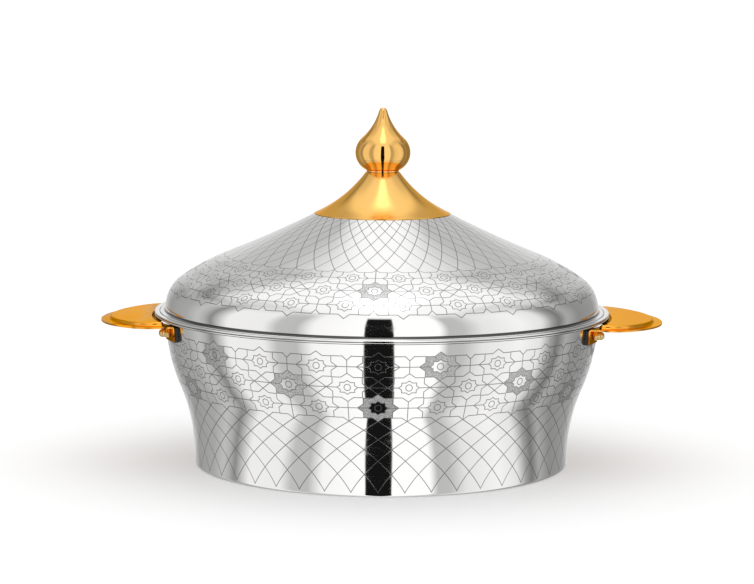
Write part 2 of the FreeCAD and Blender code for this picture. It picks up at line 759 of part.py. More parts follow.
def mid_azimuth_sketch(body, role, name, direction):
    """A sketch on an upright plane of the handle, swung to the tab on one side."""
    sketch = sketch_on(body, role, name)
    sketch.AttachmentOffset = Placement(
        Vector(0, 0, 0), Rotation(ACROSS, direction * number("tab_angle")))
    bind(sketch, "AttachmentOffset.Rotation.Angle", f"{direction} * tab_angle")
    return sketch


def round_tab_corner(body, name, direction, side, radius):
    """Round one lower corner of a tab; side +1 is the corner away from the tip's line."""
    angle = math.radians(number("tab_angle")) * direction
    outward = Vector(math.cos(angle), math.sin(angle), 0)
    sideways = Vector(-outward.y, outward.x, 0) * direction * side
    reach = number("tab_face_radius + handle_sheet / 2")
    middle = outward * reach + sideways * number("tab_width / 2")
    middle.z = -number("tab_drop")
    round_edges(body, name, radius,
                lambda e: (e.CenterOfMass - middle).Length < number("handle_sheet / 4"))


def add_tab(body, name, direction):
    """One tab: a leg of the plate bent down, its corners rounded, its screw hole cut."""
    section = mid_azimuth_sketch(body, "XZ_Plane", name + "_section", direction)
    outer_face = "tab_face_radius + handle_sheet"
    draw(section, [
        corner("tab_face_radius", "-tab_drop"),
        corner(outer_face, "-tab_drop"),
        corner(outer_face, "-handle_sheet", "tab_bend"),
        corner(f"{outer_face} + tab_leg", "-handle_sheet"),
        corner(f"{outer_face} + tab_leg", "0"),
        corner("tab_face_radius", "0", "tab_bend + handle_sheet")])
    document.recompute()
    pad_feature(body, "Pad", name, section, "tab_width", Midplane=True)
    round_tab_corner(body, name + "_outer_corner", direction, 1, "tab_outer_corner")
    round_tab_corner(body, name + "_inner_corner", direction, -1, "tab_inner_corner")
    hole = mid_azimuth_sketch(body, "YZ_Plane", name + "_hole_mark", direction)
    circle = hole.addGeometry(Part.Circle(
        Vector(0, -number("screw_drop"), 0), Vector(0, 0, 1), number("screw_hole")))
    add_datum(hole, "Radius", "screw_hole", circle)
    hole.addConstraint(Sketcher.Constraint("PointOnObject", circle, 3, -2))
    add_datum(hole, "DistanceY", "-screw_drop", -1, 1, circle, 3)
    document.recompute()
    whole = body.Tip.Shape.Volume
    pad_feature(body, "Pocket", name + "_hole", hole, "rim_radius", Reversed=True)
    if body.Tip.Shape.Volume >= whole:
        raise RuntimeError(name + " has no screw hole")


def make_handle():
    """Pressed plate with a raised panel and two tabs bent down against the pan."""
    body = document.addObject("PartDesign::Body", "handle_level")
    rim = crescent(body, "plate_outline", "handle_reach", "handle_half_width",
                   "handle_tip_radius", "handle_corner_radius", "handle_root_radius")
    pad_feature(body, "Pad", "plate", rim, "handle_sheet", Reversed=True)
    panel = pad_feature(body, "Pad", "panel", panel_outline(body, "panel_outline", "0"),
                        "panel_height")
    bind(panel, "TaperAngle", "-panel_slope")
    document.recompute()
    round_edges(body, "panel_rounding", "panel_round",
                lambda e: level(e, number("panel_height")))
    hollow_mark = panel_outline(body, "hollow_outline", "panel_wall")
    hollow_mark.AttachmentOffset = Placement(Vector(0, 0, 0), Rotation())
    bind(hollow_mark, "AttachmentOffset.Base.z", "-handle_sheet")
    document.recompute()
    whole = body.Tip.Shape.Volume
    hollow = pad_feature(body, "Pocket", "panel_hollow", hollow_mark, "panel_height",
                         Reversed=True)
    bind(hollow, "TaperAngle", "-panel_slope")
    document.recompute()
    if body.Tip.Shape.Volume >= whole:
        raise RuntimeError("the handle's panel is not hollow")
    add_tab(body, "back_tab", 1)
    add_tab(body, "front_tab", -1)
    tilted = group("handle_right", [body])
    tilt(tilted)
    document.recompute()
    return tilted


def make_pads():
    """The four dark blocks between tabs and pan: flat outside, curved to the shell."""
    outer_face = "tab_face_radius - fit_gap"
    block = document.addObject("PartDesign::Body", "pad_block")
    outline = sketch_on(block, "XY_Plane", "pad_outline")
    draw(outline, [
        corner("-pad_width / 2", "-pad_drop", "pad_corner"),
        corner("pad_width / 2", "-pad_drop", "pad_corner"),
        corner("pad_width / 2", "-handle_sheet - fit_gap"),
        corner("-pad_width / 2", "-handle_sheet - fit_gap")])
    circle = outline.addGeometry(Part.Circle(
        Vector(0, -number("screw_drop"), 0), Vector(0, 0, 1), number("screw_hole")))
    add_datum(outline, "Radius", "screw_hole", circle)
    outline.addConstraint(Sketcher.Constraint("PointOnObject", circle, 3, -2))
    add_datum(outline, "DistanceY", "-screw_drop", -1, 1, circle, 3)
    document.recompute()
    pad_feature(block, "Pad", "pad_depth", outline, "pad_block_depth", Reversed=True)
    # the outline's upright stays upright and its face looks outward along X
    block.Placement = Placement(Vector(0, 0, 0), Rotation(Vector(1, 1, 1), 120))
    bind(block, "Placement.Base.x", outer_face)
    swung = group("pad_swung", [block])
    swung.Placement = Placement(Vector(0, 0, 0), Rotation(Vector(0, 0, 1), number("tab_angle")))
    bind(swung, "Placement.Rotation.Angle", "tab_angle")
    hung = group("pad_hung", [swung])
    tilt(hung)
    shell_room = turned("shell_room", [
        corner("0", "waist_height"),
        *wall("-fit_gap"),
        corner("neck_radius + fit_gap", "lip_height"),
        corner("0", "lip_height")])
    right_back = combined("Part::Cut", "pad_right_back", hung, shell_room)
    right_front = mirrored("pad_right_front", right_back, ACROSS)
    left_back = mirrored("pad_left_back", right_back, ALONG)
    left_front = mirrored("pad_left_front", right_front, ALONG)
    document.recompute()
    return [right_back, right_front, left_back, left_front]


# ---- screws, washers and cap nuts -------------------------------------------------------
# Turned upright, their height being the distance from the pan's middle line.

def plain_cylinder(name, radius, start, end):
    return turned(name, [corner("0", start), corner(radius, start),
                         corner(radius, end), corner("0", end)])


def make_screw():
    shank_end = "nut_seat + screw_reach"
    head_top = "washer_back - fit_gap / 2"
    return turned("screw", [
        corner("0", "head_back"),
        corner("screw_head_radius", "head_back", "screw_head_height / 2"),
        corner("screw_head_radius", head_top),
        corner("screw_radius", head_top),
        corner("screw_radius", shank_end),
        corner("0", shank_end)])


def make_washer():
    front = "washer_back + washer_sheet"
    return turned("washer", [
        corner("screw_hole", "washer_back"),
        corner("washer_radius", "washer_back"),
        corner("washer_radius", front),
        corner("screw_hole", front)])


def make_cap_nut():
    """Hexagon with chamfered corners and a domed cap, bored from its seat."""
    hexagon = document.addObject("Part::Prism", "nut_hexagon")
    hexagon.Polygon = 6
    bind(hexagon, "Circumradius", "nut_corner")
    bind(hexagon, "Height", "nut_height")
    bind(hexagon, "Placement.Base.z", "nut_seat")
    hex_top = "nut_seat + nut_hex_height"
    dome_start = "nut_seat + nut_height - nut_dome_radius"
    bore = "screw_radius + screw_clearance / 4"
    turned_nut = turned("nut_turning", [
        corner(bore, "nut_seat"),
        corner("nut_flats / 2", "nut_seat"),
        corner("nut_corner", "nut_seat + (nut_corner - nut_flats / 2) / 2"),
        corner("nut_corner", f"{hex_top} - (nut_corner - nut_flats / 2) / 2"),
        corner("nut_flats / 2", hex_top),
        corner("nut_dome_radius", hex_top),
        corner("nut_dome_radius", dome_start),
        arc("nut_dome_radius", 1),
        corner("0", "nut_seat + nut_height"),
        corner("0", "nut_seat + nut_bore_depth"),
        corner(bore, "nut_seat + nut_bore_depth")])
    return combined("Part::Common", "cap_nut", hexagon, turned_nut)


def make_everything():
    """Build each piece and name the ones that are pieces of the casserole."""
    hole = plain_cylinder("hole_core", "screw_hole", "head_back", "rim_radius")
    room = plain_cylinder("room_core", "washer_radius + foam_room / 2",
                          "head_back - foam_room / 2", "rim_radius")
    holes = four_times("screw_holes", hole, "screw_drop")
    rooms = four_times("screw_rooms", room, "screw_drop")
    right = make_handle()
    return [
        make_outer_shell(holes),
        make_inner_pan(),
        make_body_foam(rooms),
        make_base_plate(),
        right,
        mirrored("handle_left", right, ALONG),
        *make_pads(),
        four_times("handle_screws", make_screw(), "screw_drop"),
        four_times("handle_washers", make_washer(), "screw_drop"),
        four_times("cap_nuts", make_cap_nut(), "screw_drop"),
        make_lid_shell(),
        make_lid_liner(),
        make_lid_foam(),
        make_lid_seal(),
        make_cone_cap(),
        make_finial(),
        make_finial_washer(),
        make_finial_bolt()]


pieces = make_everything()
document.recompute()
failed = [o.Label for o in document.Objects if {"Invalid", "Error"} & set(o.State)]
failed += [p.Label for p in pieces if p.Shape.isNull() or not p.Shape.isValid()]
if failed:
    raise RuntimeError("not built: " + ", ".join(failed))
os.makedirs("parts", exist_ok=True)
for piece in pieces:
    piece.Shape.exportStep(f"parts/{piece.Label}.step")
    print(f"{piece.Label:18} {len(piece.Shape.Solids)} solid(s) {piece.Shape.Volume:12.1f} mm3")
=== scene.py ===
# %% [markdown]
# # An insulated chapati casserole
# The real object is a round steel pan with two walls and foam between them, under a domed
# lid that lifts off. Its outside is polished like a mirror and etched with stars and
# diamonds, the two side handles are pressed from gold-toned sheet, and a spun cone with an
# onion-shaped knob sits on the lid.
#
# The engineering model gives every piece its place, and it moves. What it can't give is a
# mirror: its surfaces are cut into small flat facets, and on polished metal each facet
# shows. So this lesson makes the visible pieces again with smooth surfaces, in the same
# places, and gives every piece its finish.
#
# All sizes below are in millimetres and become metres when a point is placed.

# %% Open the frame
import json
import math

import bpy
from mathutils import Matrix, Vector

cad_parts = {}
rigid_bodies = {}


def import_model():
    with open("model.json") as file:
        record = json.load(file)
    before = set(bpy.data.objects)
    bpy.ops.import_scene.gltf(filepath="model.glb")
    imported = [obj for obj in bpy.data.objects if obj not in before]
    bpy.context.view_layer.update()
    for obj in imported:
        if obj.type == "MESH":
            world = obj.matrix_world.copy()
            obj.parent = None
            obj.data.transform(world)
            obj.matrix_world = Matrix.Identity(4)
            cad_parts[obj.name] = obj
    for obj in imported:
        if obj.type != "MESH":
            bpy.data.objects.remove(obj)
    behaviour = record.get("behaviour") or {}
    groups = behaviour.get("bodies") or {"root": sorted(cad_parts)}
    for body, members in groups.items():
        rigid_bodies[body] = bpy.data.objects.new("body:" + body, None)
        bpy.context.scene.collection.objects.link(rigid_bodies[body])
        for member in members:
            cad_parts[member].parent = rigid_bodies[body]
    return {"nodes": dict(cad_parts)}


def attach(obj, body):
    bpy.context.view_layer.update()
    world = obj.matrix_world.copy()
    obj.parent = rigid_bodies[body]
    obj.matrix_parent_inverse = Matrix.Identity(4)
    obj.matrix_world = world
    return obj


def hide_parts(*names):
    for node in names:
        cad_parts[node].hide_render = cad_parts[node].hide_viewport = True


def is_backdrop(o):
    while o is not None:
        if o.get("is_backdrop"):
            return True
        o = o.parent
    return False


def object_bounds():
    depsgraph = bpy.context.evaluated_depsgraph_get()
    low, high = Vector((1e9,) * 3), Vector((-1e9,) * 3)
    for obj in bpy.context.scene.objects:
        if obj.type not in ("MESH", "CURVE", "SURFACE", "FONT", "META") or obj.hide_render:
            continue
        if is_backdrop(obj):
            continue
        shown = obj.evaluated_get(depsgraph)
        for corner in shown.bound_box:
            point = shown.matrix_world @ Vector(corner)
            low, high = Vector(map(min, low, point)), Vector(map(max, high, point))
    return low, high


MM = 0.001
bpy.ops.object.select_all(action="SELECT")
bpy.ops.object.delete()  # the start-up cube, lamp and camera
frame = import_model()
cad_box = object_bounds()
print("CAD box:", cad_box)

# %% [markdown]
# ## Drawing an outline
# Most pieces are turned: spun on a lathe or pressed round. Their shape is one outline of
# radius and height, carried round the middle. The outline could be typed as a long list of
# points, but then nobody can read it. Here it has only its real corners, and a corner may
# be rounded or the side after it may be bowed, as a toolmaker's drawing says it.

# %% Outline to points
def bow_points(start, end, radius, turn):
    """Points of an arc from start to end; turn +1 bends left on the way, -1 right."""
    chord = end - start
    rise = math.sqrt(max(radius ** 2 - (chord.length / 2) ** 2, 0))
    left = Vector((-chord.y, chord.x)).normalized()
    centre = (start + end) / 2 + left * rise * turn
    first = start - centre
    sweep = 2 * math.asin(min(1, chord.length / 2 / radius)) * turn
    # short steps on a tight bend, long ones on a wide curve
    step = math.radians(15 if radius < 2 else 9 if radius < 8 else 3)
    count = max(3, math.ceil(abs(sweep) / step), math.ceil(abs(sweep) * radius / 3))
    points = []
    for i in range(count + 1):
        a = sweep * i / count
        points.append(centre + Vector((first.x * math.cos(a) - first.y * math.sin(a),
                                       first.x * math.sin(a) + first.y * math.cos(a))))
    return points


LONG_SIDE, END_PIECE = 3, 0.4  # mm


def trace(steps):
    """A closed outline as points. (r, z) is a sharp corner, (r, z, rounding) a round one,
    and ("bow", radius, turn) bends the side between two corners."""
    corners = [s for s in steps if s[0] != "bow"]
    bows = [n if n[0] == "bow" else None for s, n in zip(steps, steps[1:] + steps[:1])
            if s[0] != "bow"]
    places = [Vector(c[:2]) for c in corners]
    ends, starts = list(places), list(places)
    for i, c in enumerate(corners):
        if len(c) == 3:
            back = (places[i - 1] - places[i]).normalized()
            ahead = (places[(i + 1) % len(places)] - places[i]).normalized()
            reach = c[2] / math.tan(back.angle(ahead) / 2)
            ends[i], starts[i] = places[i] + back * reach, places[i] + ahead * reach
    points = []
    for i, c in enumerate(corners):
        if len(c) == 3:
            turn = 1 if (ends[i] - places[i]).cross(starts[i] - places[i]) < 0 else -1
            points += bow_points(ends[i], starts[i], c[2], turn)[:-1]
        if bows[i]:
            points += bow_points(starts[i], ends[(i + 1) % len(places)], *bows[i][1:])[:-1]
        else:
            points.append(starts[i])
            side = ends[(i + 1) % len(places)] - starts[i]
            if side.length > LONG_SIDE:  # a short piece at each end keeps it flat
                inward = side.normalized() * END_PIECE
                points += [starts[i] + inward, starts[i] + side - inward]
    return [p for i, p in enumerate(points) if (p - points[i - 1]).length > 1e-4]


quarter = bow_points(Vector((10, 0)), Vector((0, 10)), 10, 1)
print("a quarter of a 10 mm circle has", len(quarter), "points")

# %% [markdown]
# ## Turning an outline into a piece
# By hand one would add a vertex, extrude it along the drawing, and spin the line about the
# upright axis. This does the same. After a full spin the first and last line lie on each
# other, and a point on the axis is there once per step, so doubles are merged before the
# normals are made to look outward. Then the smooth shading is cut at sharp folds.

# %% Turn an outline
def mode(name):
    bpy.ops.object.mode_set(mode=name)


def select_nothing():
    """Back to object mode with nothing selected: an operator acts on all that is."""
    if bpy.context.object and bpy.context.object.mode == "EDIT":
        mode("OBJECT")
    bpy.ops.object.select_all(action="DESELECT")


def pick(piece):
    """Only this piece is selected and active."""
    select_nothing()
    piece.select_set(True)
    bpy.context.view_layer.objects.active = piece


def select_mesh(action="SELECT"):
    bpy.ops.mesh.select_all(action=action)


def heal(doubles=0.0):
    """In edit mode: merge what lies closer than that, and turn all faces outward."""
    select_mesh()
    if doubles:
        bpy.ops.mesh.remove_doubles(threshold=doubles)
    bpy.ops.mesh.normals_make_consistent(inside=False)


def draw_line(name, places):
    """A piece of one open line through the places, left in edit mode."""
    select_nothing()
    bpy.ops.mesh.primitive_plane_add(size=0.001, location=(0, 0, 0))
    piece = bpy.context.object
    piece.name = piece.data.name = name
    mode("EDIT")
    bpy.ops.mesh.select_mode(type="VERT")
    bpy.ops.mesh.merge(type="CENTER")
    bpy.ops.transform.translate(value=places[0])
    for here, there in zip(places, places[1:]):
        bpy.ops.mesh.extrude_vertices_move(TRANSFORM_OT_translate={"value": there - here})
    return piece


def smooth(piece, fold=35):
    """Smooth shading, cut where the surface folds by more than so many degrees."""
    pick(piece)
    bpy.ops.object.shade_smooth_by_angle(angle=math.radians(fold))


def turned(name, steps, around=192, fold=35):
    """Spin an outline of radius and height once round the upright axis."""
    outline = trace(steps)
    places = [Vector((p.x, 0, p.y)) * MM for p in outline]
    if outline[0].x > 0:
        places.append(places[0])
    while places[-2].x == 0:  # one that starts on the axis stays open there
        places.pop()
    piece = draw_line(name, places)
    select_mesh()
    bpy.ops.mesh.spin(steps=around, angle=math.tau, center=(0, 0, 0), axis=(0, 0, 1))
    heal(2e-6)
    mode("OBJECT")
    smooth(piece, fold)
    print(f"{name}: {len(outline)} points in its outline, {len(piece.data.polygons)} faces")
    return piece

# %% [markdown]
# ## The studio
# Polished metal has hardly any look of its own: it shows what stands round it. So the
# studio comes before the finishes. The camera stands low and far off, so that the rims
# are thin ellipses. The floor is white and takes the shadow.

# %% Camera and floor
CAMERA_PLACE, CAMERA_AIM = (0, -1.6986, 0.3172), (0, 0, 0.1)  # metres
CAMERA_ROLL = 0.007  # radians
LENS, SENSOR, SHIFT = 132.29, 36, (-0.0065, 0.0125)


def stand_camera():
    """The camera on its tripod, 1.7 m off and a little above the lid."""
    select_nothing()
    bpy.ops.object.camera_add(location=CAMERA_PLACE)
    camera = bpy.context.object
    aim = Vector(CAMERA_AIM) - camera.location
    level = aim.to_track_quat("-Z", "Y").to_matrix().to_4x4()
    camera.matrix_world = (Matrix.Translation(camera.location) @ level
                           @ Matrix.Rotation(CAMERA_ROLL, 4, "Z"))
    camera.data.lens, camera.data.sensor_width = LENS, SENSOR
    camera.data.shift_x, camera.data.shift_y = SHIFT
    bpy.context.scene.camera = camera
    return camera


def lay_floor():
    """A wide floor with its far edge far behind the object."""
    select_nothing()
    bpy.ops.mesh.primitive_plane_add(size=8, location=(0, 0, -0.0002))
    floor = bpy.context.object
    floor.name = "floor"
    floor.visible_glossy = False  # metal shows the tent below, not the floor's shadow
    floor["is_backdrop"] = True
    return floor


camera, floor = stand_camera(), lay_floor()
print("camera", camera.data.lens, "mm lens, floor", tuple(floor.dimensions))

# %% [markdown]
# ## Sums in a node tree
# A pattern is arithmetic, and arithmetic made of Math nodes placed by hand gets long. The
# class below lets a sum be written as a sum: each sign becomes one Math node.

# %% Sums as nodes
def feed(value, socket):
    """Link a figure to a socket, or set a plain number or colour on it."""
    if isinstance(value, Figure):
        value.tree.links.new(value.plug, socket)
    else:
        socket.default_value = value


def single(operation):
    return lambda figure: figure.by(operation)


def chain(operation):
    """The operation with one other number, or with several in turn."""
    def work(figure, *others):
        for other in others:
            figure = figure.by(operation, other)
        return figure
    return work


class Figure:
    """One number in a node tree. Signs and functions on it become Math nodes."""

    def __init__(self, tree, plug):
        self.tree, self.plug = tree, plug

    def by(self, operation, *others):
        node = self.tree.nodes.new("ShaderNodeMath")
        node.operation = operation
        for socket, value in zip(node.inputs, (self, *others)):
            feed(value, socket)
        return Figure(self.tree, node.outputs[0])

    __add__, __sub__, __mul__ = chain("ADD"), chain("SUBTRACT"), chain("MULTIPLY")
    __truediv__, least, most = chain("DIVIDE"), chain("MINIMUM"), chain("MAXIMUM")
    size, nearest, root = single("ABSOLUTE"), single("ROUND"), single("SQRT")

    def __rsub__(self, other):
        return self.by("MULTIPLY_ADD", -1, other)

    def held(self):
        """Kept between 0 and 1."""
        return self.most(0).least(1)


def ramp(factor, stops):
    """A ramp of greys, from stops of (place, grey)."""
    node = factor.tree.nodes.new("ShaderNodeValToRGB")
    marks = node.color_ramp.elements
    for i, (place, grey) in enumerate(stops):
        mark = marks[i] if i < len(marks) else marks.new(place)
        mark.position, mark.color = place, (grey, grey, grey, 1)
    feed(factor, node.inputs[0])
    return Figure(factor.tree, node.outputs[0])


def spot(figure, middle, half, steep):
    """1 round the middle, falling steeply to 0 at half its width to either side."""
    return ((half - (figure - middle).size()) * steep).held()


def three(tree, plug):
    """The three numbers of a vector."""
    split = tree.nodes.new("ShaderNodeSeparateXYZ")
    tree.links.new(plug, split.inputs[0])
    return [Figure(tree, part) for part in split.outputs]


print("sums can be written as sums")

# %% [markdown]
# ## The tent
# The room is a white tent with soft grey gaps between its panels, and one narrow black
# gap where the camera looks in. They are drawn on the world by direction, all the way
# round, so the metal has something to show from every side. The camera itself sees plain
# white behind the object, and matt surfaces get an even light.

# %% The tent's tones
# grey of the walls by azimuth in degrees, 0 in front and 90 at the right
WALLS = ((-180, 0.85), (-168, 0.6), (-150, 0.3), (-125, 0.37), (-113, 0.5), (-107, 0.42),
         (-101, 0.24), (-95, 0.5), (-88, 0.84), (-64, 0.83), (-56, 0.5), (-45, 0.48),
         (-36, 0.9), (-10, 1.0), (30, 1.0), (35, 0.48), (43, 0.5), (54, 0.77), (77, 0.89),
         (92, 0.76), (100, 0.33), (106, 0.18), (114, 0.38), (126, 0.25), (150, 0.3),
         (168, 0.6), (180, 0.85))
# grey of the ceiling by its distance to the side: in front, and behind, where only a
# strip along the middle is bright
CEILING_NEAR = ((0, 1.0), (0.12, 0.99), (0.3, 0.96), (0.43, 0.92), (0.56, 0.7), (1, 0.64))
CEILING_FAR = ((0, 1.0), (0.06, 0.98), (0.12, 0.85), (0.17, 0.68), (0.23, 0.5),
               (0.31, 0.54), (0.44, 0.64), (1, 0.6))
WALL_LIGHT, CEILING_LIGHT, LAMP_LIGHT, MATT_LIGHT = 1.09, 1.06, 0.95, 0.12
DULL_SHARE = 0.55  # how much darker the dull gaps behind are
SLOT_LEFT, SLOT_HALF, SLOT_FLARE = 1.35, 7.1, 2.2  # degrees
SLOT_TOP, SLOT_GREY = 0.66, 0.007  # the height where it ends, 1 being straight up
print(len(WALLS), "tones round the walls")


# %% The tent
def hang_tent():
    """White panels, grey gaps and the camera's black gap, by direction."""
    world = bpy.data.worlds.new("tent")
    bpy.context.scene.world = world
    world.use_nodes = True
    tree = world.node_tree
    tree.nodes.clear()
    where = tree.nodes.new("ShaderNodeTexCoord")
    x, y, z = three(tree, where.outputs["Generated"])
    side = x.size()
    turn = x.by("ARCTAN2", y * -1) * (180 / math.pi)
    walls = ramp(turn / 360 + 0.5, [(a / 360 + 0.5, grey) for a, grey in WALLS])
    behind = ((y - 0.51) * 8).held()  # 0 in front, 1 behind
    ceiling = ramp(side, CEILING_NEAR) * (1 - behind) + ramp(side, CEILING_FAR) * behind
    lamp = spot(side, 0, 0.19, 8) * spot(y, -0.05, 0.48, 5)  # a small one overhead
    ceiling = ceiling * CEILING_LIGHT + lamp * LAMP_LIGHT
    height = ((z - 0.36 - side * 0.2 + y * 0.27) * 3).held()  # 0 wall, 1 ceiling
    tent = walls * WALL_LIGHT * (1 - height) + ceiling * height
    dull = spot(side, 0.54, 0.23, 9) * spot(z, 0.53, 1 / 7, 7) * (y * 3).held()
    tent = tent * (1 - dull * DULL_SHARE)
    # the black gap is wider towards the floor and ends overhead
    wide = z.least(0) * -SLOT_FLARE + SLOT_HALF
    slot = (((turn + SLOT_LEFT).size() - wide) * 1.6).most((z - SLOT_TOP) * 12, SLOT_GREY)
    tent = tent * slot.least(1)
    ways = tree.nodes.new("ShaderNodeLightPath")
    shiny, clear, matt = [Figure(tree, ways.outputs[f"Is {kind} Ray"])
                          for kind in ("Glossy", "Transmission", "Diffuse")]
    shines = shiny.most(clear)
    grey = tent * shines + (1 - shines) + matt * MATT_LIGHT  # elsewhere plain white
    background = tree.nodes.new("ShaderNodeBackground")
    out = tree.nodes.new("ShaderNodeOutputWorld")
    feed(grey, background.inputs["Color"])
    tree.links.new(background.outputs[0], out.inputs[0])
    print("tent:", len(tree.nodes), "nodes")


hang_tent()
bpy.context.scene.view_settings.view_transform = "Standard"

# %% [markdown]
# ## Building a finish
# Each finish is one Principled shader with its nodes in front of it. What is the same all
# over, such as the edge tint of a gold coat, is set on the shader itself. What changes over
# the surface comes from groups that several finishes share.

# %% A finish and its helpers
def new_finish(name, **plain):
    """A material with one Principled shader, its plain values set on its own sockets."""
    material = bpy.data.materials.new(name)
    material.use_nodes = True
    tree = material.node_tree
    shader = tree.nodes["Principled BSDF"]
    for socket, value in plain.items():
        shader.inputs[socket.replace("_", " ")].default_value = value
    return material, tree, shader


def new_group(name, numbers, outputs):
    """An empty node group with named number inputs and outputs."""
    group = bpy.data.node_groups.new(name, "ShaderNodeTree")
    for label in (*numbers, *outputs):
        way = "INPUT" if label in numbers else "OUTPUT"
        socket = group.interface.new_socket(name=label, in_out=way,
                                            socket_type="NodeSocketFloat")
        socket.default_value = numbers.get(label, 0)
    ways_in = group.nodes.new("NodeGroupInput")
    ways_out = group.nodes.new("NodeGroupOutput")
    figures = {label: Figure(group, ways_in.outputs[label]) for label in numbers}
    return group, figures, lambda label, figure: feed(figure, ways_out.inputs[label])


def place_group(tree, group, **numbers):
    """The group in a material's tree, with this finish's own values."""
    node = tree.nodes.new("ShaderNodeGroup")
    node.node_tree = group
    for label, value in numbers.items():
        feed(value, node.inputs[label.replace("_", " ")])
    return {plug.name: Figure(tree, plug) for plug in node.outputs}


def place(tree, stretch=(1, 1, 1)):
    """Where a point of the surface is, in millimetres, stretched as asked."""
    where = tree.nodes.new("ShaderNodeTexCoord")
    scale = tree.nodes.new("ShaderNodeMapping")
    scale.inputs["Scale"].default_value = [1000 * s for s in stretch]
    tree.links.new(where.outputs["Object"], scale.inputs["Vector"])
    return scale.outputs["Vector"]


def noise(tree, scale, detail=2.0, roughness=0.5, where=None):
    """Cloudy noise, 0 to 1."""
    node = tree.nodes.new("ShaderNodeTexNoise")
    tree.links.new(where or place(tree), node.inputs["Vector"])
    for label, value in (("Scale", scale), ("Detail", detail), ("Roughness", roughness)):
        node.inputs[label].default_value = value
    return Figure(tree, node.outputs["Fac"])


def radius(tree):
    """Distance from the upright axis and height, in millimetres."""
    x, y, z = three(tree, place(tree))
    return (x * x + y * y).root(), z


def tint(share, first, second):
    """A colour that goes from first to second with the share."""
    node = share.tree.nodes.new("ShaderNodeMix")
    node.data_type = "RGBA"
    feed(share, node.inputs["Factor"])
    for label, colour in (("A", first), ("B", second)):
        socket = [s for s in node.inputs if s.name == label and s.type == "RGBA"][0]
        feed(colour if isinstance(colour, Figure) else (*colour, 1), socket)
    return Figure(share.tree, [s for s in node.outputs if s.type == "RGBA"][0])


def bumped(shader, height, depth):
    """Relief of so many millimetres from a height of 0 to 1."""
    node = height.tree.nodes.new("ShaderNodeBump")
    node.inputs["Strength"].default_value = 1
    node.inputs["Distance"].default_value = depth * MM
    feed(height, node.inputs["Height"])
    height.tree.links.new(node.outputs[0], shader.inputs["Normal"])


print("ready to build finishes")

# %% [markdown]
# ## Handling and polish
# No real mirror is perfect. A polishing wheel leaves a haze in soft patches, and hands
# leave faint smears. Both change only how rough the metal is. Turned pieces also carry
# very fine rings from the cloth that polished them while they spun.

# %% Group: haze and smears
def build_haze():
    """How much haze lies on polished metal: patches, and a few long smears."""
    group, given, give = new_group("haze", {"Patch": 0.03, "Smear": 0.05}, ["Haze"])
    patches = noise(group, 0.022, 3)
    smears = noise(group, 0.055, 4, 0.62, place(group, (1, 1, 3)))
    patches = ((patches - 0.42) * 3.2).held() * given["Patch"]
    smears = ((smears - 0.56) * 7).held() * given["Smear"]
    give("Haze", patches + smears)
    return group


haze = build_haze()
print("haze:", len(haze.nodes), "nodes")


# %% Group: spun rings
def build_rings():
    """Fine rings round the axis, as height and as roughness, 0 to 1."""
    group, given, give = new_group("spun rings", {"Per mm": 3.0}, ["Rings"])
    r, z = radius(group)
    line = group.nodes.new("ShaderNodeCombineXYZ")
    for figure, socket in ((r, 0), (z, 1)):
        group.links.new((figure * given["Per mm"]).plug, line.inputs[socket])
    give("Rings", noise(group, 1.0, 3, 0.7, line.outputs[0]))
    return group


rings = build_rings()
print("rings:", len(rings.nodes), "nodes")

# %% [markdown]
# ## The etched ornament
# The wall and the dome carry a traditional trellis of eight-pointed stars. On the real
# piece it is etched: a resist is printed on the polished sheet and acid dulls the bare
# lines. So a line has no thickness, it is only matt and a little grey, and some stars are
# dulled all over.
#
# A star is a square laid on a square that stands on its corner. If a point lies m columns
# and n rows from a star's middle, then max(m, n) - a is below zero inside the first
# square, m + n - b inside the second, and the smaller of the two is below zero inside the
# star. Where it is near zero there is an outline. Every line below is such a distance, in
# millimetres, and the least of them all decides if a point is on a line. Three rows of
# stars alternate, and the columns run on into a lattice of crossing curves.

# %% Group: etched trellis
LARGE_STAR, SMALL_STAR = (0.49, 0.69), (0.24, 0.34)  # half side, tip; in columns and rows
EYE, LINE, LINE_EDGE = 1.9, 0.3, 0.08  # ring and half line, mm


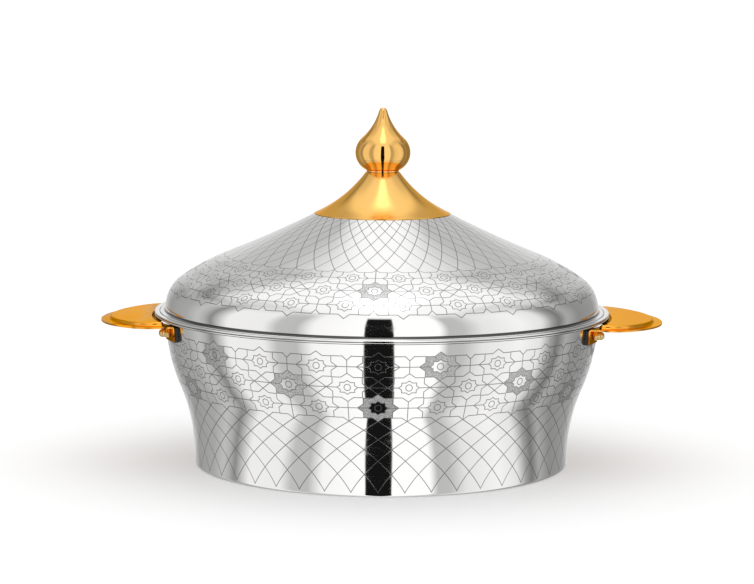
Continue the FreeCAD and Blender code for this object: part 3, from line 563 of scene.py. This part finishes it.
def build_trellis():
    """Where a line runs and which stars are dulled, from column and row."""
    group, given, give = new_group("etched trellis", {
        "Column": 0.0, "Row": 0.0, "Wide": 16.0, "High": 12.35, "Lattice row": -1.68,
        "Swing 1": 0.095, "Swing 2": 0.0, "Swing 3": 0.0, "Reach": 42.0,
        "Dulled column": 5.0, "Dulled step": 8.0, "Dulled slant": 3.0}, ["Line", "Dulled"])
    column, row, wide, high = [given[k] for k in ("Column", "Row", "Wide", "High")]
    gauge = ((wide * wide).by("POWER", -1) + (high * high).by("POWER", -1)).root()

    def star(m, n, side, point):
        square = ((m - side) * wide).most((n - side) * high)
        return square.least((m + n - point) / gauge)

    def outside(figure, middle, half):
        """How far a number lies outside a span, below zero inside it."""
        return (figure - middle).size() - half

    def nearest_star(line_row):
        """In a row, the nearest star's column and how far it is; stars alternate."""
        odd = 1 - line_row.size()
        number = ((column - odd) / 2).nearest() * 2 + odd
        return number, (column - number).size()

    def chosen(number, line_row):
        """1 if this star is one of the dulled ones."""
        turn = number - given["Dulled column"] + line_row * given["Dulled slant"]
        turn = turn / given["Dulled step"]
        return ((0.06 - (turn - turn.nearest()).size()) * 100).held()

    line_row = row.nearest().most(-1).least(1)
    middle = 1 - line_row.size()  # 1 in the middle row
    upper, lower = line_row.most(0), (line_row * -1).most(0)
    rise = row - line_row
    n = rise.size()
    number, m = nearest_star(line_row)
    far = 1 - m
    large, small = star(m, n, *LARGE_STAR), star(m, n, *SMALL_STAR)
    ring = (((m * wide) * (m * wide) + (n * high) * (n * high)).root() - EYE).size()
    across = (n * high).most((SMALL_STAR[1] - m) * wide)
    # the tips of the next row's stars reach over into this one, but not past the edge rows
    next_row = line_row + rise.by("SIGN")
    beyond = (next_row.size() - 1.5).most(0) * 999
    next_number, next_m = nearest_star(next_row)
    tips = star(next_m, 1 - n, *LARGE_STAR) + beyond
    lines = large.size().least(small.size(), ring, across, tips.size())
    # the cells between the stars differ from row to row
    tip = LARGE_STAR[1]
    rhomb = (far + n - (1 - tip)).size() / gauge
    stroke = (far * wide).most((n - (1 - tip)) * high)
    spine = (far * wide).most(outside(rise, -0.187, 0.497) * high)
    roof = ((rise - 0.5).size() * high).most(outside(m, 0.672, 0.183) * wide)
    dip = ((rise - 0.306 - far * 1.338).size() / gauge * 0.86).most((far - 0.145) * wide)
    sill = ((rise + 0.5).size() * high).most(outside(m, 0.65, 0.16) * wide)
    tooth = ((far + n - tip).size() / gauge).most((rise + 0.5) * high)
    lines = lines.least(rhomb + (1 - middle) * 99,
                        stroke.least(roof, dip) + (1 - upper) * 99,
                        spine.least(sill, tooth) + (1 - lower) * 99)
    # the lattice swings out from every star's lowest point
    drop = (given["Lattice row"] - row) * high
    swing = drop * (given["Swing 1"] + drop * (given["Swing 2"] + drop * given["Swing 3"]))
    lean = given["Swing 1"] + drop * (given["Swing 2"] * 2 + drop * (given["Swing 3"] * 3))
    left, right = column - swing, column + swing
    crossing = (left - left.nearest()).size().least((right - right.nearest()).size())
    crossing = crossing / ((wide * wide).by("POWER", -1) + lean * lean).root()
    crossing = crossing.most(drop * -1 - 0.2, drop - given["Reach"])
    give("Line", ((LINE - lines.least(crossing)) / LINE_EDGE).held())
    # a dulled star's whole field, tips and all, but not the small star in its middle
    field = (large * -8).held() * (small * 8).held() * chosen(number, line_row)
    give("Dulled", field.most((tips * -8).held() * chosen(next_number, next_row)))
    return group


trellis = build_trellis()
print("trellis:", len(trellis.nodes), "nodes")

# %% [markdown]
# ## Etched steel
# Mirror-polished stainless steel reflects nine tenths of the light, hardly coloured. The
# etching makes it matt: more roughness and a darker grey. Where the acid ate a whole
# star, it left a fine speckle, so there, and only there, the surface is a little uneven.
# Painted shade lies in the folds of the sheet and draws them as dark lines.

# %% Finish: etched steel, for wall and lid
# the third grey, and the share on the next line, paint shade into the folds
STEEL, LINE_GREY, PAINTED_SHADE_GREY = (0.93, 0.925, 0.915), (0.31, 0.31, 0.32), (0.03,) * 3
DULL_DARK, DULL_PALE, FOLD_SHARE = (0.3, 0.3, 0.295), (0.84, 0.84, 0.83), 0.93


def between(z, low, high, soft=0.12):
    """1 between two heights, fading out over a soft edge."""
    return ((z - low) / soft).held() * ((high - z) / soft).held()


def paint_fold_shade(colour, z, folds):
    """The colour with painted shade, nearly black between the heights of each fold."""
    shade = between(z, *folds[0])
    for fold in folds[1:]:
        shade = shade.most(between(z, *fold))
    return tint(shade * FOLD_SHARE, colour, PAINTED_SHADE_GREY)


def etched_steel(name, mm_per_column, folds, **trellis_numbers):
    """Mirror steel with the trellis, and painted shade as dark lines in its folds."""
    material, tree, shader = new_finish(name, Metallic=1.0)
    chart = tree.nodes.new("ShaderNodeUVMap")
    chart.uv_map = "stencil"
    column, row = three(tree, chart.outputs[0])[:2]
    r, z = radius(tree)
    etch = place_group(tree, trellis, Column=column, Row=row, Wide=r * mm_per_column,
                       **trellis_numbers)
    speckle = ((noise(tree, 1.5, 3, 0.7) - 0.33) * 3).held()
    dulled = etch["Dulled"]
    polish = place_group(tree, haze, Patch=0.03, Smear=0.05)["Haze"] + 0.035
    colour = tint(dulled, STEEL, tint(speckle, DULL_DARK, DULL_PALE))
    colour = tint(etch["Line"], colour, LINE_GREY)
    feed(paint_fold_shade(colour, z, folds), shader.inputs["Base Color"])
    feed((polish + dulled * 0.34).most(etch["Line"] * 0.22), shader.inputs["Roughness"])
    bumped(shader, 1 - dulled * (speckle * 0.6 + 0.4), 0.01)
    return material


WALL_COLUMNS, LID_COLUMNS = 46, 48
WALL_ROW, LID_ROW = 12.35, 13.05  # mm from one row of stars to the next
# the pairs of heights are the folds that get painted shade
wall_steel = etched_steel("etched steel wall", math.tau / WALL_COLUMNS,
                          ((92.3, 93.3), (93.8, 94.1)), High=WALL_ROW, Lattice_row=-1.684,
                          Swing_1=0.0931, Swing_2=-3.3e-4, Swing_3=-5.1e-6, Reach=43.3,
                          Dulled_column=5.0)
lid_steel = etched_steel("etched steel lid", math.tau / LID_COLUMNS,
                         ((94.0, 94.9), (95.48, 96.8)), High=LID_ROW, Lattice_row=-1.7318,
                         Swing_1=0.04762, Swing_2=-8.857e-5, Swing_3=5.634e-6, Reach=70.0,
                         Dulled_column=1.0, Dulled_step=12.0, Dulled_slant=0.0)
print("etched steel:", len(wall_steel.node_tree.nodes), "nodes in the material")

# %% [markdown]
# ## Plain steel
# The pan's raised rim is the same mirror. Inside, the pan is brushed round and round,
# which is kinder to scratches, and so are the lid's lining and the base.

# %% Finish: plain and brushed steel
def spun(tree, shader, patch, least_rough, ring_rough, ring_depth, per_mm=3.0):
    """Haze and rings set the roughness, and the rings may stand up a little."""
    ring = place_group(tree, rings, Per_mm=per_mm)["Rings"]
    polish = place_group(tree, haze, Patch=patch, Smear=0.05)["Haze"]
    feed(polish + ring * ring_rough + least_rough, shader.inputs["Roughness"])
    if ring_depth:
        bumped(shader, ring, ring_depth)
    return ring


def plain_steel(name, *spun_numbers, tone=0.93, per_mm=3.0, folds=()):
    material, tree, shader = new_finish(name, Metallic=1.0)
    ring = spun(tree, shader, 0.04, *spun_numbers, per_mm)
    colour = tint(ring, [tone * share for share in (0.96, 0.957, 0.95)],
                  [tone * share for share in (1, 0.995, 0.985)])
    if folds:
        colour = paint_fold_shade(colour, radius(tree)[1], folds)
    feed(colour, shader.inputs["Base Color"])
    return material


# the rim's folds get painted shade too
rim_steel = plain_steel("polished steel", 0.03, 0.02, 0, per_mm=0.8,
                        folds=((93.4, 94.25), (94.3, 94.6)))
pan_steel = plain_steel("brushed steel", 0.16, 0.2, 0.004, tone=0.86)
fastener_steel = plain_steel("bright fastener", 0.2, 0.12, 0.002, tone=0.78)
print("plain steel:", len(pan_steel.node_tree.nodes), "nodes")

# %% [markdown]
# ## Gold-toned metal
# The gold is a thin tinted coat on polished steel. Seen at a flat angle, plain gold turns
# pale in the computer; a tinted coat stays golden, so the edge colour is tinted as well.
# The cone is satin, spun under an abrasive cloth. The knob is polished to a mirror. The
# pressed handles have a deeper, more orange coat, worn a little paler along the edges
# where hands and shelves rub. The plate's shade on their tabs is painted in as a browner
# colour.

# %% Finish: gold
def gold(name, deep, light, *spun_numbers):
    material, tree, shader = new_finish(name, Metallic=1.0,
                                        Specular_Tint=(1.0, 0.72, 0.36, 1.0))
    ring = spun(tree, shader, 0.06, *spun_numbers)
    drift = noise(tree, 0.03, 2)
    feed(tint(drift * 0.6 + ring * 0.4, deep, light), shader.inputs["Base Color"])
    return material


cone_gold = gold("satin gold", (1.0, 0.56, 0.16), (1.0, 0.62, 0.2), 0.1, 0.05, 0.0012)
knob_gold = gold("polished gold", (1.0, 0.55, 0.16), (1.0, 0.61, 0.19), 0.02, 0.02, 0.0003)
nut_brass = gold("brass", (0.7, 0.48, 0.2), (0.82, 0.6, 0.28), 0.1, 0.08, 0.001)
print("gold:", len(cone_gold.node_tree.nodes), "nodes")


# %% Finish: handle gold
DEEP_GOLD, PALE_GOLD, WORN_GOLD = (0.96, 0.4, 0.045), (1.0, 0.47, 0.07), (1.0, 0.6, 0.2)
# painted shade: below that height the tabs under the plate turn this brown
TAB_SHADE_BROWN, TAB_TOP = (0.36, 0.12, 0.016), 87.5  # the tabs are below that height, in mm


def handle_gold():
    material, tree, shader = new_finish("handle gold", Metallic=1.0,
                                        Specular_Tint=(1.0, 0.68, 0.12, 1.0))
    grain = noise(tree, 1.6, 3, 0.7, place(tree, (0.05, 1, 1)))
    polish = place_group(tree, haze, Patch=0.08, Smear=0.06)["Haze"]
    drift = noise(tree, 0.035, 2)
    wear = tree.nodes.new("ShaderNodeNewGeometry")
    edge = ((Figure(tree, wear.outputs["Pointiness"]) - 0.52) * 12).held()
    edge = edge * ((noise(tree, 0.25, 3) - 0.35) * 3).held()
    colour = tint(drift * 0.7 + grain * 0.3, DEEP_GOLD, PALE_GOLD)
    colour = tint(edge * 0.3, colour, WORN_GOLD)
    # painted shade, browner on the tabs below the plate
    below = ((TAB_TOP - radius(tree)[1]) * 0.5).held()
    feed(tint(below, colour, TAB_SHADE_BROWN), shader.inputs["Base Color"])
    feed(polish + grain * 0.06 + 0.16, shader.inputs["Roughness"])
    bumped(shader, drift, 0.05)
    return material


plate_gold = handle_gold()
print("handle gold:", len(plate_gold.node_tree.nodes), "nodes")

# %% [markdown]
# ## What isn't metal
# The pads between the handles' tabs and the wall are black moulded plastic with a fine
# grain. The seal on the lid's plug is translucent grey silicone. The foam is inside and
# only shows in a cut.

# %% Finish: plastic, silicone, foam
def moulded(name, dark, pale, rough, grain_scale, depth, **plain):
    material, tree, shader = new_finish(name, **plain)
    grain = noise(tree, grain_scale, 3, 0.6)
    cloud = noise(tree, 0.06, 2)
    feed(tint(cloud * 0.6 + grain * 0.4, dark, pale), shader.inputs["Base Color"])
    feed(cloud * 0.15 + rough, shader.inputs["Roughness"])
    bumped(shader, grain, depth)
    return material


pad_black = moulded("black plastic", (0.008, 0.008, 0.009), (0.022, 0.022, 0.023), 0.38,
                    1.5, 0.03, Specular_IOR_Level=0.5)
seal_grey = moulded("silicone", (0.5, 0.5, 0.49), (0.62, 0.62, 0.6), 0.42, 0.8, 0.02,
                    Subsurface_Weight=0.2, Subsurface_Scale=0.002)
filling = moulded("foam", (0.72, 0.62, 0.36), (0.85, 0.76, 0.5), 0.8, 0.7, 0.4)
print("other finishes:", pad_black.name, seal_grey.name, filling.name)

# %% [markdown]
# ## The outer wall
# One sheet of steel makes the whole outside. It is pressed into a flared wall whose curve
# swings out and back, turned in under the foot, and folded back on itself at the lip, so
# the rim is round to the hand. The outline below walks up the outside and back down the
# inside, one sheet's thickness in.

# %% Hand a finished piece over
def settle(piece, body, finish, slot, *nodes):
    """Give the piece its finish, let it ride, and let it stand for its CAD nodes."""
    piece.data.materials.append(finish)
    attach(piece, body)
    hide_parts(*nodes)
    return piece


# %% Outer wall
SHELL = [(107, 0), (115.5, 0, 1.4), (115.5, 6.2), ("bow", 108.16, -1), (124.35, 49.05),
         ("bow", 108.16, 1), (133.2, 91.9), (133.2, 92.8, 0.8), (140, 92.8, 0.55),
         (140, 94, 0.55), (137.75, 94), (137.75, 93.4), (132.6, 93.4, 1.4), (132.6, 91.9),
         ("bow", 107.56, -1), (123.8, 49.29), ("bow", 108.76, 1), (114.9, 6.2),
         (114.9, 0.6, 0.8), (107, 0.6)]
outer_shell = turned("wall", SHELL)

# %% [markdown]
# ## Laying the stencil on a piece
# The trellis needs to know, for every point, in which column and in which row it lies.
# That is what a UV map is for. Round the piece it counts columns, with the seam at the
# back. Up the piece it counts rows: on the wall by height, and on the dome by the length
# of the way along its curve, because a stencil lies on the sheet and doesn't know height.

# %% Stencil map
def lay_stencil(piece, columns, start, row_of):
    """UV map of column and row. start is the column that lies at azimuth zero."""
    chart = piece.data.uv_layers.new(name="stencil")
    points = piece.data.vertices
    for face in piece.data.polygons:
        middle = math.degrees(math.atan2(face.center.x, -face.center.y))
        for corner in face.loop_indices:
            p = points[piece.data.loops[corner].vertex_index].co / MM
            turn = math.degrees(math.atan2(p.x, -p.y)) if p.xy.length > 0.01 else middle
            turn += 360 * round((middle - turn) / 360)
            chart.data[corner].uv = (turn * columns / 360 + start, row_of(p))


WALL_START, WALL_MIDDLE_ROW = 0.8 / 7.826, 66.6  # columns; mm above the table
lay_stencil(outer_shell, WALL_COLUMNS, WALL_START,
            lambda p: (p.z - WALL_MIDDLE_ROW) / WALL_ROW)
settle(outer_shell, "casserole", wall_steel, "etched_steel", "outer_shell")
print("wall:", len(outer_shell.data.polygons), "faces")

# %% [markdown]
# ## The pan and the base
# The pan hangs in the shell by its flange. The flange is stepped: a low flat seat for the
# lid, then a folded bright ring that stands on the shell's lip. The wall leans outward,
# so the pan comes off its tool, and the floor's corner is round, so a spoon reaches all
# of it. The base is a shallow dish with a pressed bead that stops it from drumming.

# %% Pan
PAN = [(0, 12), (102, 12, 10), (120.8, 94.15, 3), (137.05, 94.15), (137.05, 95.25, 0.55),
       (140, 95.25, 0.55), (140, 94.05, 0.55), (137.65, 94.05), (137.65, 93.55),
       (121.28, 93.55, 2.4), (102.48, 11.4, 10.6), (0, 11.4)]
pan = settle(turned("pan", PAN), "casserole", pan_steel, "steel", "inner_pan")
pan.data.materials.append(rim_steel)
SEAT = 122.2  # from this radius on, seat and ring are polished
for face in pan.data.polygons:
    if face.center.xy.length > SEAT * MM:
        face.material_index = 1
print("rim faces:", sum(face.material_index for face in pan.data.polygons))

# %% Base
UNDERSIDE = [(0, 3.1), (56, 3.1, 1.5), (59, 1.9, 1.5), (65, 1.9, 1.5), (68, 3.1, 1.5),
             (99, 3.1, 2), (103, 0.7, 2), (114, 0.7)]
BASE_SHEET = 0.8
UPPER = [(s[0], s[1] + BASE_SHEET, *s[2:]) for s in reversed(UNDERSIDE)]
settle(turned("base", UNDERSIDE + UPPER), "casserole", pan_steel, "steel", "base_plate")

# %% [markdown]
# ## The lid
# The dome is pressed from one sheet too. It rises upright from its folded flange, turns
# over a round shoulder, and then runs up in a long hollow sweep to a small flat peak for
# the knob's bolt. A lining of the same steel closes it from below, with a plug that
# enters the pan's mouth and carries a soft seal.

# %% Dome
DOME = [(2.6, 168.407), (2.6, 169.007), (11.08, 169.007), ("bow", 12, -1),
        (16.593, 167.665), (40.4, 155.351), ("bow", 650, 1), (95.532, 130.022),
        ("bow", 155, -1), (124.143, 114.81), ("bow", 21, -1), (133.4, 97.4),
        (133.4, 95.45, 1.3), (136.7, 95.45, 0.55), (136.7, 94.25, 0.55), (134.8, 94.25),
        (134.8, 94.85), (132.8, 94.85, 1.9), (132.8, 97.4), ("bow", 20.4, 1),
        (123.808, 114.312), ("bow", 154.4, 1), (95.307, 129.466), ("bow", 650.6, -1),
        (40.124, 154.818), (16.318, 167.132), ("bow", 11.4, 1), (11.08, 168.407)]
dome = turned("dome", DOME)
LID_START, LID_MIDDLE_ROW, FOOT = 2.1 / 7.5 + 1, 31.5, 97.4  # columns; mm; mm


def way_along_dome():
    """Length of the dome's curve from its upright foot, listed by radius."""
    outer = [p for p in trace(DOME[3:12]) if p.y > FOOT - 0.01]
    outer.sort(key=lambda p: -p.x)
    lengths, total = [], 0
    for here, there in zip(outer, outer[1:] + [None]):
        lengths.append((here, total))
        total += (there - here).length if there else 0
    return lengths


def row_on_dome(p, table=way_along_dome()):
    """The stencil's row at a point of the dome, by the nearest listed point."""
    r = p.xy.length
    way = table[-1][1] if r < 50 else 0  # past the list's ends, the peak or the foot
    if p.z < FOOT:
        way = p.z - FOOT
    else:
        for (high, a), (low, b) in zip(table, table[1:]):
            if low.x <= r <= high.x + 1e-6:
                way = a + (high.x - r) / max(high.x - low.x, 1e-6) * (b - a)
                break
    return (LID_MIDDLE_ROW - way) / LID_ROW


lay_stencil(dome, LID_COLUMNS, LID_START, row_on_dome)
settle(dome, "lid", lid_steel, "etched_steel", "lid_shell")
print("way along the dome:", round(way_along_dome()[-1][1], 1), "mm")

# %% Lining and seal
LINING = [(0, 101.05), (8.7, 101.05), ("bow", 549.56, -1), (98.885, 93.6),
          (108.2, 92.05, 1.3), (109.4, 85.45, 2.6), (116.4, 85.45, 2.6),
          (117.6, 94.25, 1.3), (134.7, 94.25), (134.7, 94.85), (117, 94.85, 1.9),
          (115.8, 86.05, 2), (110, 86.05, 2), (108.79, 92.65, 1.9), (98.413, 94.359),
          ("bow", 549.56, 1), (9.191, 101.65), (0, 101.65)]
settle(turned("lining", LINING), "lid", pan_steel, "steel", "lid_liner")
SEAL = [(117.7, 88.65), (118.9, 88.65, 0.5), (119.2, 91.85, 0.5), (117.7, 91.85)]
settle(turned("seal_ring", SEAL), "lid", seal_grey, "silicone", "lid_seal")

# %% [markdown]
# ## Cone and knob
# The cone is spun from gold-toned sheet over a wooden former: a trumpet that lies on the
# dome with its thin edge. The knob is a solid turned onion. Its bulb flows into a hollow
# spire and ends in a tiny round tip, so it fits between two fingers.

# %% Cone and knob
CONE = [(42, 154.639), (42, 154.951), ("bow", 78.8, -1), (10.4, 180.301), (2.6, 180.301),
        (2.6, 179.501), (9.997, 179.501), ("bow", 79.6, 1), (28.449, 161.645),
        (40.446, 155.44)]
settle(turned("cone", CONE, 160), "lid", cone_gold, "gold_satin", "cone_cap")
KNOB = [(0, 193.501), (2.5, 193.501), (2.5, 180.401), (9.92, 180.401, 0.3),
        (9.92, 181.301), ("bow", 12, 1), (12.901, 201.144), ("bow", 35.5, -1),
        (2.45, 217.801), ("bow", 2.53, 1), (0, 219.701)]
settle(turned("knob", KNOB, 128, 50), "lid", knob_gold, "gold_polished", "finial")

# %% [markdown]
# ## The handles
# A handle is a pressed plate: its outline is a round tip, two rounder corners and a root
# that follows the rim. A panel is pressed up in the middle for stiffness, so it is hollow
# underneath, and a border stays flat. Two tabs are bent down to be screwed to the wall.
#
# The plate is made as three nested outlines with the same number of points, so they can
# be bridged ring to ring. Then the panel is filled, its folds are rounded as a press
# leaves them, and a modifier gives the surface the thickness of the sheet. It is made
# level, with its top at zero height, and hung at its height and slope at the end.

# %% Plate outline
# reach, half width, and radii of tip, corner and root, in mm
EDGE, PANEL = (173.3, 55, 64.3, 22, 136.9), (167.8, 47.5, 58.8, 18, 139.4)
PANEL_RISE, PANEL_LEAN, PANEL_FOLD, SHEET = 2, 80, 0.8, 1  # the lean in degrees


def crescent(reach, half_width, tip, bend, root, height):
    """Points round a handle's outline: tip, corner, root and corner."""
    tip_x, bend_y = reach - tip, half_width - bend
    bend_x = tip_x + math.sqrt((tip - bend) ** 2 - bend_y ** 2)
    middle = Vector((bend_x, bend_y))
    meet = Vector((tip_x, 0)) + (middle - Vector((tip_x, 0))).normalized() * tip
    along = (middle.length ** 2 + root ** 2 - bend ** 2) / (2 * middle.length)
    unit = middle.normalized()
    end = unit * along + Vector((-unit.y, unit.x)) * math.sqrt(root ** 2 - along ** 2)

    def arc(centre, radius, first, last, count):
        a, b = [math.atan2((p - centre).y, (p - centre).x) for p in (first, last)]
        return [centre + Vector((math.cos(a + (b - a) * i / count),
                                 math.sin(a + (b - a) * i / count))) * radius
                for i in range(count)]

    def mirror(p):
        return Vector((p.x, -p.y))

    points = (arc(Vector((tip_x, 0)), tip, mirror(meet), meet, 28)
              + arc(middle, bend, meet, end, 14)
              + arc(Vector((0, 0)), root, end, mirror(end), 28)
              + arc(mirror(middle), bend, mirror(end), mirror(meet), 14))
    return [Vector((p.x, p.y, height)) * MM for p in points]


def closed_ring(name, places):
    """A piece that is one closed line, left in edit mode and all selected."""
    piece = draw_line(name, places + places[:1])
    select_mesh()
    bpy.ops.mesh.remove_doubles(threshold=1e-6)
    select_mesh()
    return piece


def join(pieces, name):
    """The pieces as one object."""
    select_nothing()
    for piece in pieces:
        piece.select_set(True)
    bpy.context.view_layer.objects.active = pieces[0]
    bpy.ops.object.join()
    pieces[0].name = pieces[0].data.name = name
    return pieces[0]


def strip(name, inner, outer):
    """The band of faces between two rings."""
    band = join([closed_ring(name + "a", inner), closed_ring(name + "b", outer)], name)
    mode("EDIT")
    select_mesh()
    bpy.ops.mesh.bridge_edge_loops()
    mode("OBJECT")
    return band


def apply_modifier(piece, kind, **settings):
    """Add a modifier and apply it at once."""
    pick(piece)
    modifier = piece.modifiers.new(kind.lower(), kind)
    for label, value in settings.items():
        setattr(modifier, label, value)
    bpy.ops.object.modifier_apply(modifier=modifier.name)


def round_edges(piece, width, segments, fold):
    """Round the edges that fold by more than so many degrees."""
    apply_modifier(piece, "BEVEL", width=width * MM, segments=segments,
                   limit_method="ANGLE", angle_limit=math.radians(fold))


print("a plate's outline has", len(crescent(*EDGE, 0)), "points")


# %% Press a plate
def press_plate():
    """The plate with its raised panel, level, its top at zero height."""
    slope = PANEL_RISE / math.tan(math.radians(PANEL_LEAN))
    crown = crescent(*[size - slope for size in PANEL[:4]], PANEL[4] + slope, PANEL_RISE)
    top = closed_ring("panel_top", crown)
    bpy.ops.mesh.edge_face_add()
    mode("OBJECT")
    foot = crescent(*PANEL, 0)
    plate = join([strip("border", foot, crescent(*EDGE, 0)),
                  strip("panel_wall", crown, foot), top], "plate")
    pick(plate)
    mode("EDIT")
    heal(1e-6)
    mode("OBJECT")
    upward = sum(face.normal.z * face.area for face in plate.data.polygons)
    mode("EDIT")
    if upward < 0:
        bpy.ops.mesh.flip_normals()
    # the press rounds every fold
    select_mesh("DESELECT")
    bpy.ops.mesh.select_mode(type="EDGE")
    bpy.ops.mesh.edges_select_sharp(sharpness=math.radians(30))
    bpy.ops.mesh.bevel(offset=PANEL_FOLD * MM, segments=4, affect="EDGES")
    mode("OBJECT")
    # a ring inside the panel's edge keeps the worn edge narrow
    widest = max(plate.data.polygons, key=lambda face: face.area).index
    for part in (plate.data.vertices, plate.data.edges, plate.data.polygons):
        part.foreach_set("select", [False] * len(part))
    plate.data.polygons[widest].select = True
    mode("EDIT")
    bpy.ops.mesh.select_mode(type="FACE")
    bpy.ops.mesh.inset(thickness=1.2 * MM)
    bpy.ops.mesh.select_mode(type="VERT")
    mode("OBJECT")
    apply_modifier(plate, "SOLIDIFY", thickness=SHEET * MM, offset=-1)
    round_edges(plate, 0.28, 2, 60)
    print("plate:", len(plate.data.polygons), "faces")
    return plate


# %% Bend a tab
TAB_HALF, TAB_END, TAB_ANGLE = 8.7, -9.5, 19.41  # half width, lower end; its azimuth
TAB_SIDE = [(134.8, TAB_END), (135.8, TAB_END), (135.8, -1, 0.9), (139.3, -0.98),
            (139.3, -0.02), (134.8, 0, 1.9)]


def bend_tab():
    """One tab, level and on the middle line, its outer side towards +Y."""
    tab = closed_ring("tab", [Vector((p.x, -TAB_HALF, p.y)) * MM for p in trace(TAB_SIDE)])
    bpy.ops.mesh.edge_face_add()
    bpy.ops.mesh.extrude_region_move(
        TRANSFORM_OT_translate={"value": (0, 2 * TAB_HALF * MM, 0)})
    heal()
    for y, corner in ((TAB_HALF, 3), (-TAB_HALF, 6)):
        bpy.ops.mesh.select_mode(type="EDGE")
        select_mesh("DESELECT")
        mode("OBJECT")
        points = [v.co / MM for v in tab.data.vertices]
        for line in tab.data.edges:
            line.select = all(abs(points[i].z - TAB_END) < 0.01
                              and abs(points[i].y - y) < 0.01 for i in line.vertices)
        mode("EDIT")
        bpy.ops.mesh.bevel(offset=corner * MM, segments=8, affect="EDGES")
    mode("OBJECT")
    round_edges(tab, 0.18, 2, 60)
    return tab


# %% Hang at the handle's height and slope
def own_copy(piece, name):
    """A copy with its own mesh."""
    copy = piece.copy()
    copy.data = piece.data.copy()
    copy.name = copy.data.name = name
    bpy.context.collection.objects.link(copy)
    return copy


RIM, RIM_HEIGHT, HANDLE_SLOPE = 140, 90.15, 1.8  # mm, mm, degrees


def swing_and_hang(piece, swing=0, mirrored=False, left=False, hang=True):
    """Swing a level piece to a tab, mirror it to the front, hang it, and put it left."""
    place_it = Matrix.Rotation(math.radians(swing), 4, "Z")
    if mirrored:
        place_it = Matrix.Scale(-1, 4, (0, 1, 0)) @ place_it
    if hang:
        slope = math.radians(HANDLE_SLOPE)
        height = RIM_HEIGHT + RIM * math.sin(slope)
        place_it = (Matrix.Translation((0, 0, height * MM))
                    @ Matrix.Rotation(slope, 4, "Y") @ place_it)
    if left:
        place_it = Matrix.Scale(-1, 4, (1, 0, 0)) @ place_it
    pick(piece)
    piece.matrix_world = place_it
    bpy.ops.object.transform_apply(location=True, rotation=True, scale=True)
    mode("EDIT")
    heal()
    mode("OBJECT")
    return piece


def make_handle():
    """The right handle, level: a plate with a tab on each side."""
    back = bend_tab()
    front = own_copy(back, "front_tab")
    parts = [press_plate(), swing_and_hang(back, TAB_ANGLE, hang=False),
             swing_and_hang(front, TAB_ANGLE, mirrored=True, hang=False)]
    handle = join(parts, "right_handle")
    smooth(handle, 40)
    apply_modifier(handle, "WEIGHTED_NORMAL", keep_sharp=True)
    return handle


handle_right = make_handle()
handle_left = swing_and_hang(own_copy(handle_right, "left_handle"), left=True)
swing_and_hang(handle_right)
settle(handle_right, "casserole", plate_gold, "gold_plate", "handle_right")
settle(handle_left, "casserole", plate_gold, "gold_plate", "handle_left")
print("handle:", len(handle_right.data.polygons), "faces")

# %% [markdown]
# ## Cap nuts
# A domed brass nut closes each screw, so no thread stands out where fingers go. It is a
# hexagon with a turned dome on it. One is made upright and laid down, then copied.

# %% Cap nuts
NUT_CORNER, HEX_HEIGHT, NUT_PLACE = 3.17, 2.6, (135.85, 0, -4.5)


def make_nut():
    """One nut at a level tab's outer face."""
    select_nothing()
    bpy.ops.mesh.primitive_cylinder_add(vertices=6, radius=NUT_CORNER * MM,
                                        depth=HEX_HEIGHT * MM,
                                        location=(0, 0, HEX_HEIGHT / 2 * MM))
    hexagon = bpy.context.object
    bpy.ops.object.transform_apply(location=True, rotation=True, scale=True)
    round_edges(hexagon, 0.3, 3, 70)
    cap = turned("cap", [(0, 0.5), (2.5, 0.5), (2.5, 4), ("bow", 2.5, 1), (0, 6.5)], 48)
    nut = join([hexagon, cap], "cap_nut")
    nut.matrix_world = (Matrix.Translation(Vector(NUT_PLACE) * MM)
                        @ Matrix.Rotation(math.pi / 2, 4, "Y"))
    pick(nut)
    bpy.ops.object.transform_apply(location=True, rotation=True, scale=True)
    smooth(nut, 40)
    return nut


nut = make_nut()
nuts = [swing_and_hang(own_copy(nut, "nut"), TAB_ANGLE, front, left)
        for left in (False, True) for front in (False, True)]
bpy.data.objects.remove(nut)
cap_nuts = join(nuts, "domed_nuts")
settle(cap_nuts, "casserole", nut_brass, "brass", "cap_nuts")

# %% [markdown]
# ## Pieces that keep their engineering shape
# Foam, screws, washers and pads are right as they are. They only need their finish.

# %% Finishes for the other nodes
KEPT = {"body_foam lid_foam": filling,
        "handle_screws handle_washers finial_bolt finial_washer": fastener_steel,
        "pad_right_back pad_right_front pad_left_back pad_left_front": pad_black}
for names, finish in KEPT.items():
    for name in names.split():
        for slot in frame["nodes"][name].material_slots:
            slot.material = finish
        print(name, "in", finish.name)

# %% [markdown]
# ## Floor
# The floor is plain white and matt. It keeps the soft shadow under the pan.

# %% Floor finish
def floor_white():
    material, tree, shader = new_finish("white floor", Roughness=0.9)
    cloud = noise(tree, 0.004, 2)
    feed(tint(cloud, (0.985, 0.985, 0.985), (1.0, 1.0, 1.0)), shader.inputs["Base Color"])
    return material


floor.data.materials.append(floor_white())

# %% [markdown]
# ## Close
# Both boxes, the engineering model's and the visual model's, are printed. The visual
# model must fit the engineering model's box.

# %% Sizes
visual_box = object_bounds()
for label, box in (("cad", cad_box), ("visual", visual_box)):
    print(label, [[round(v / MM, 2) for v in corner] for corner in box])
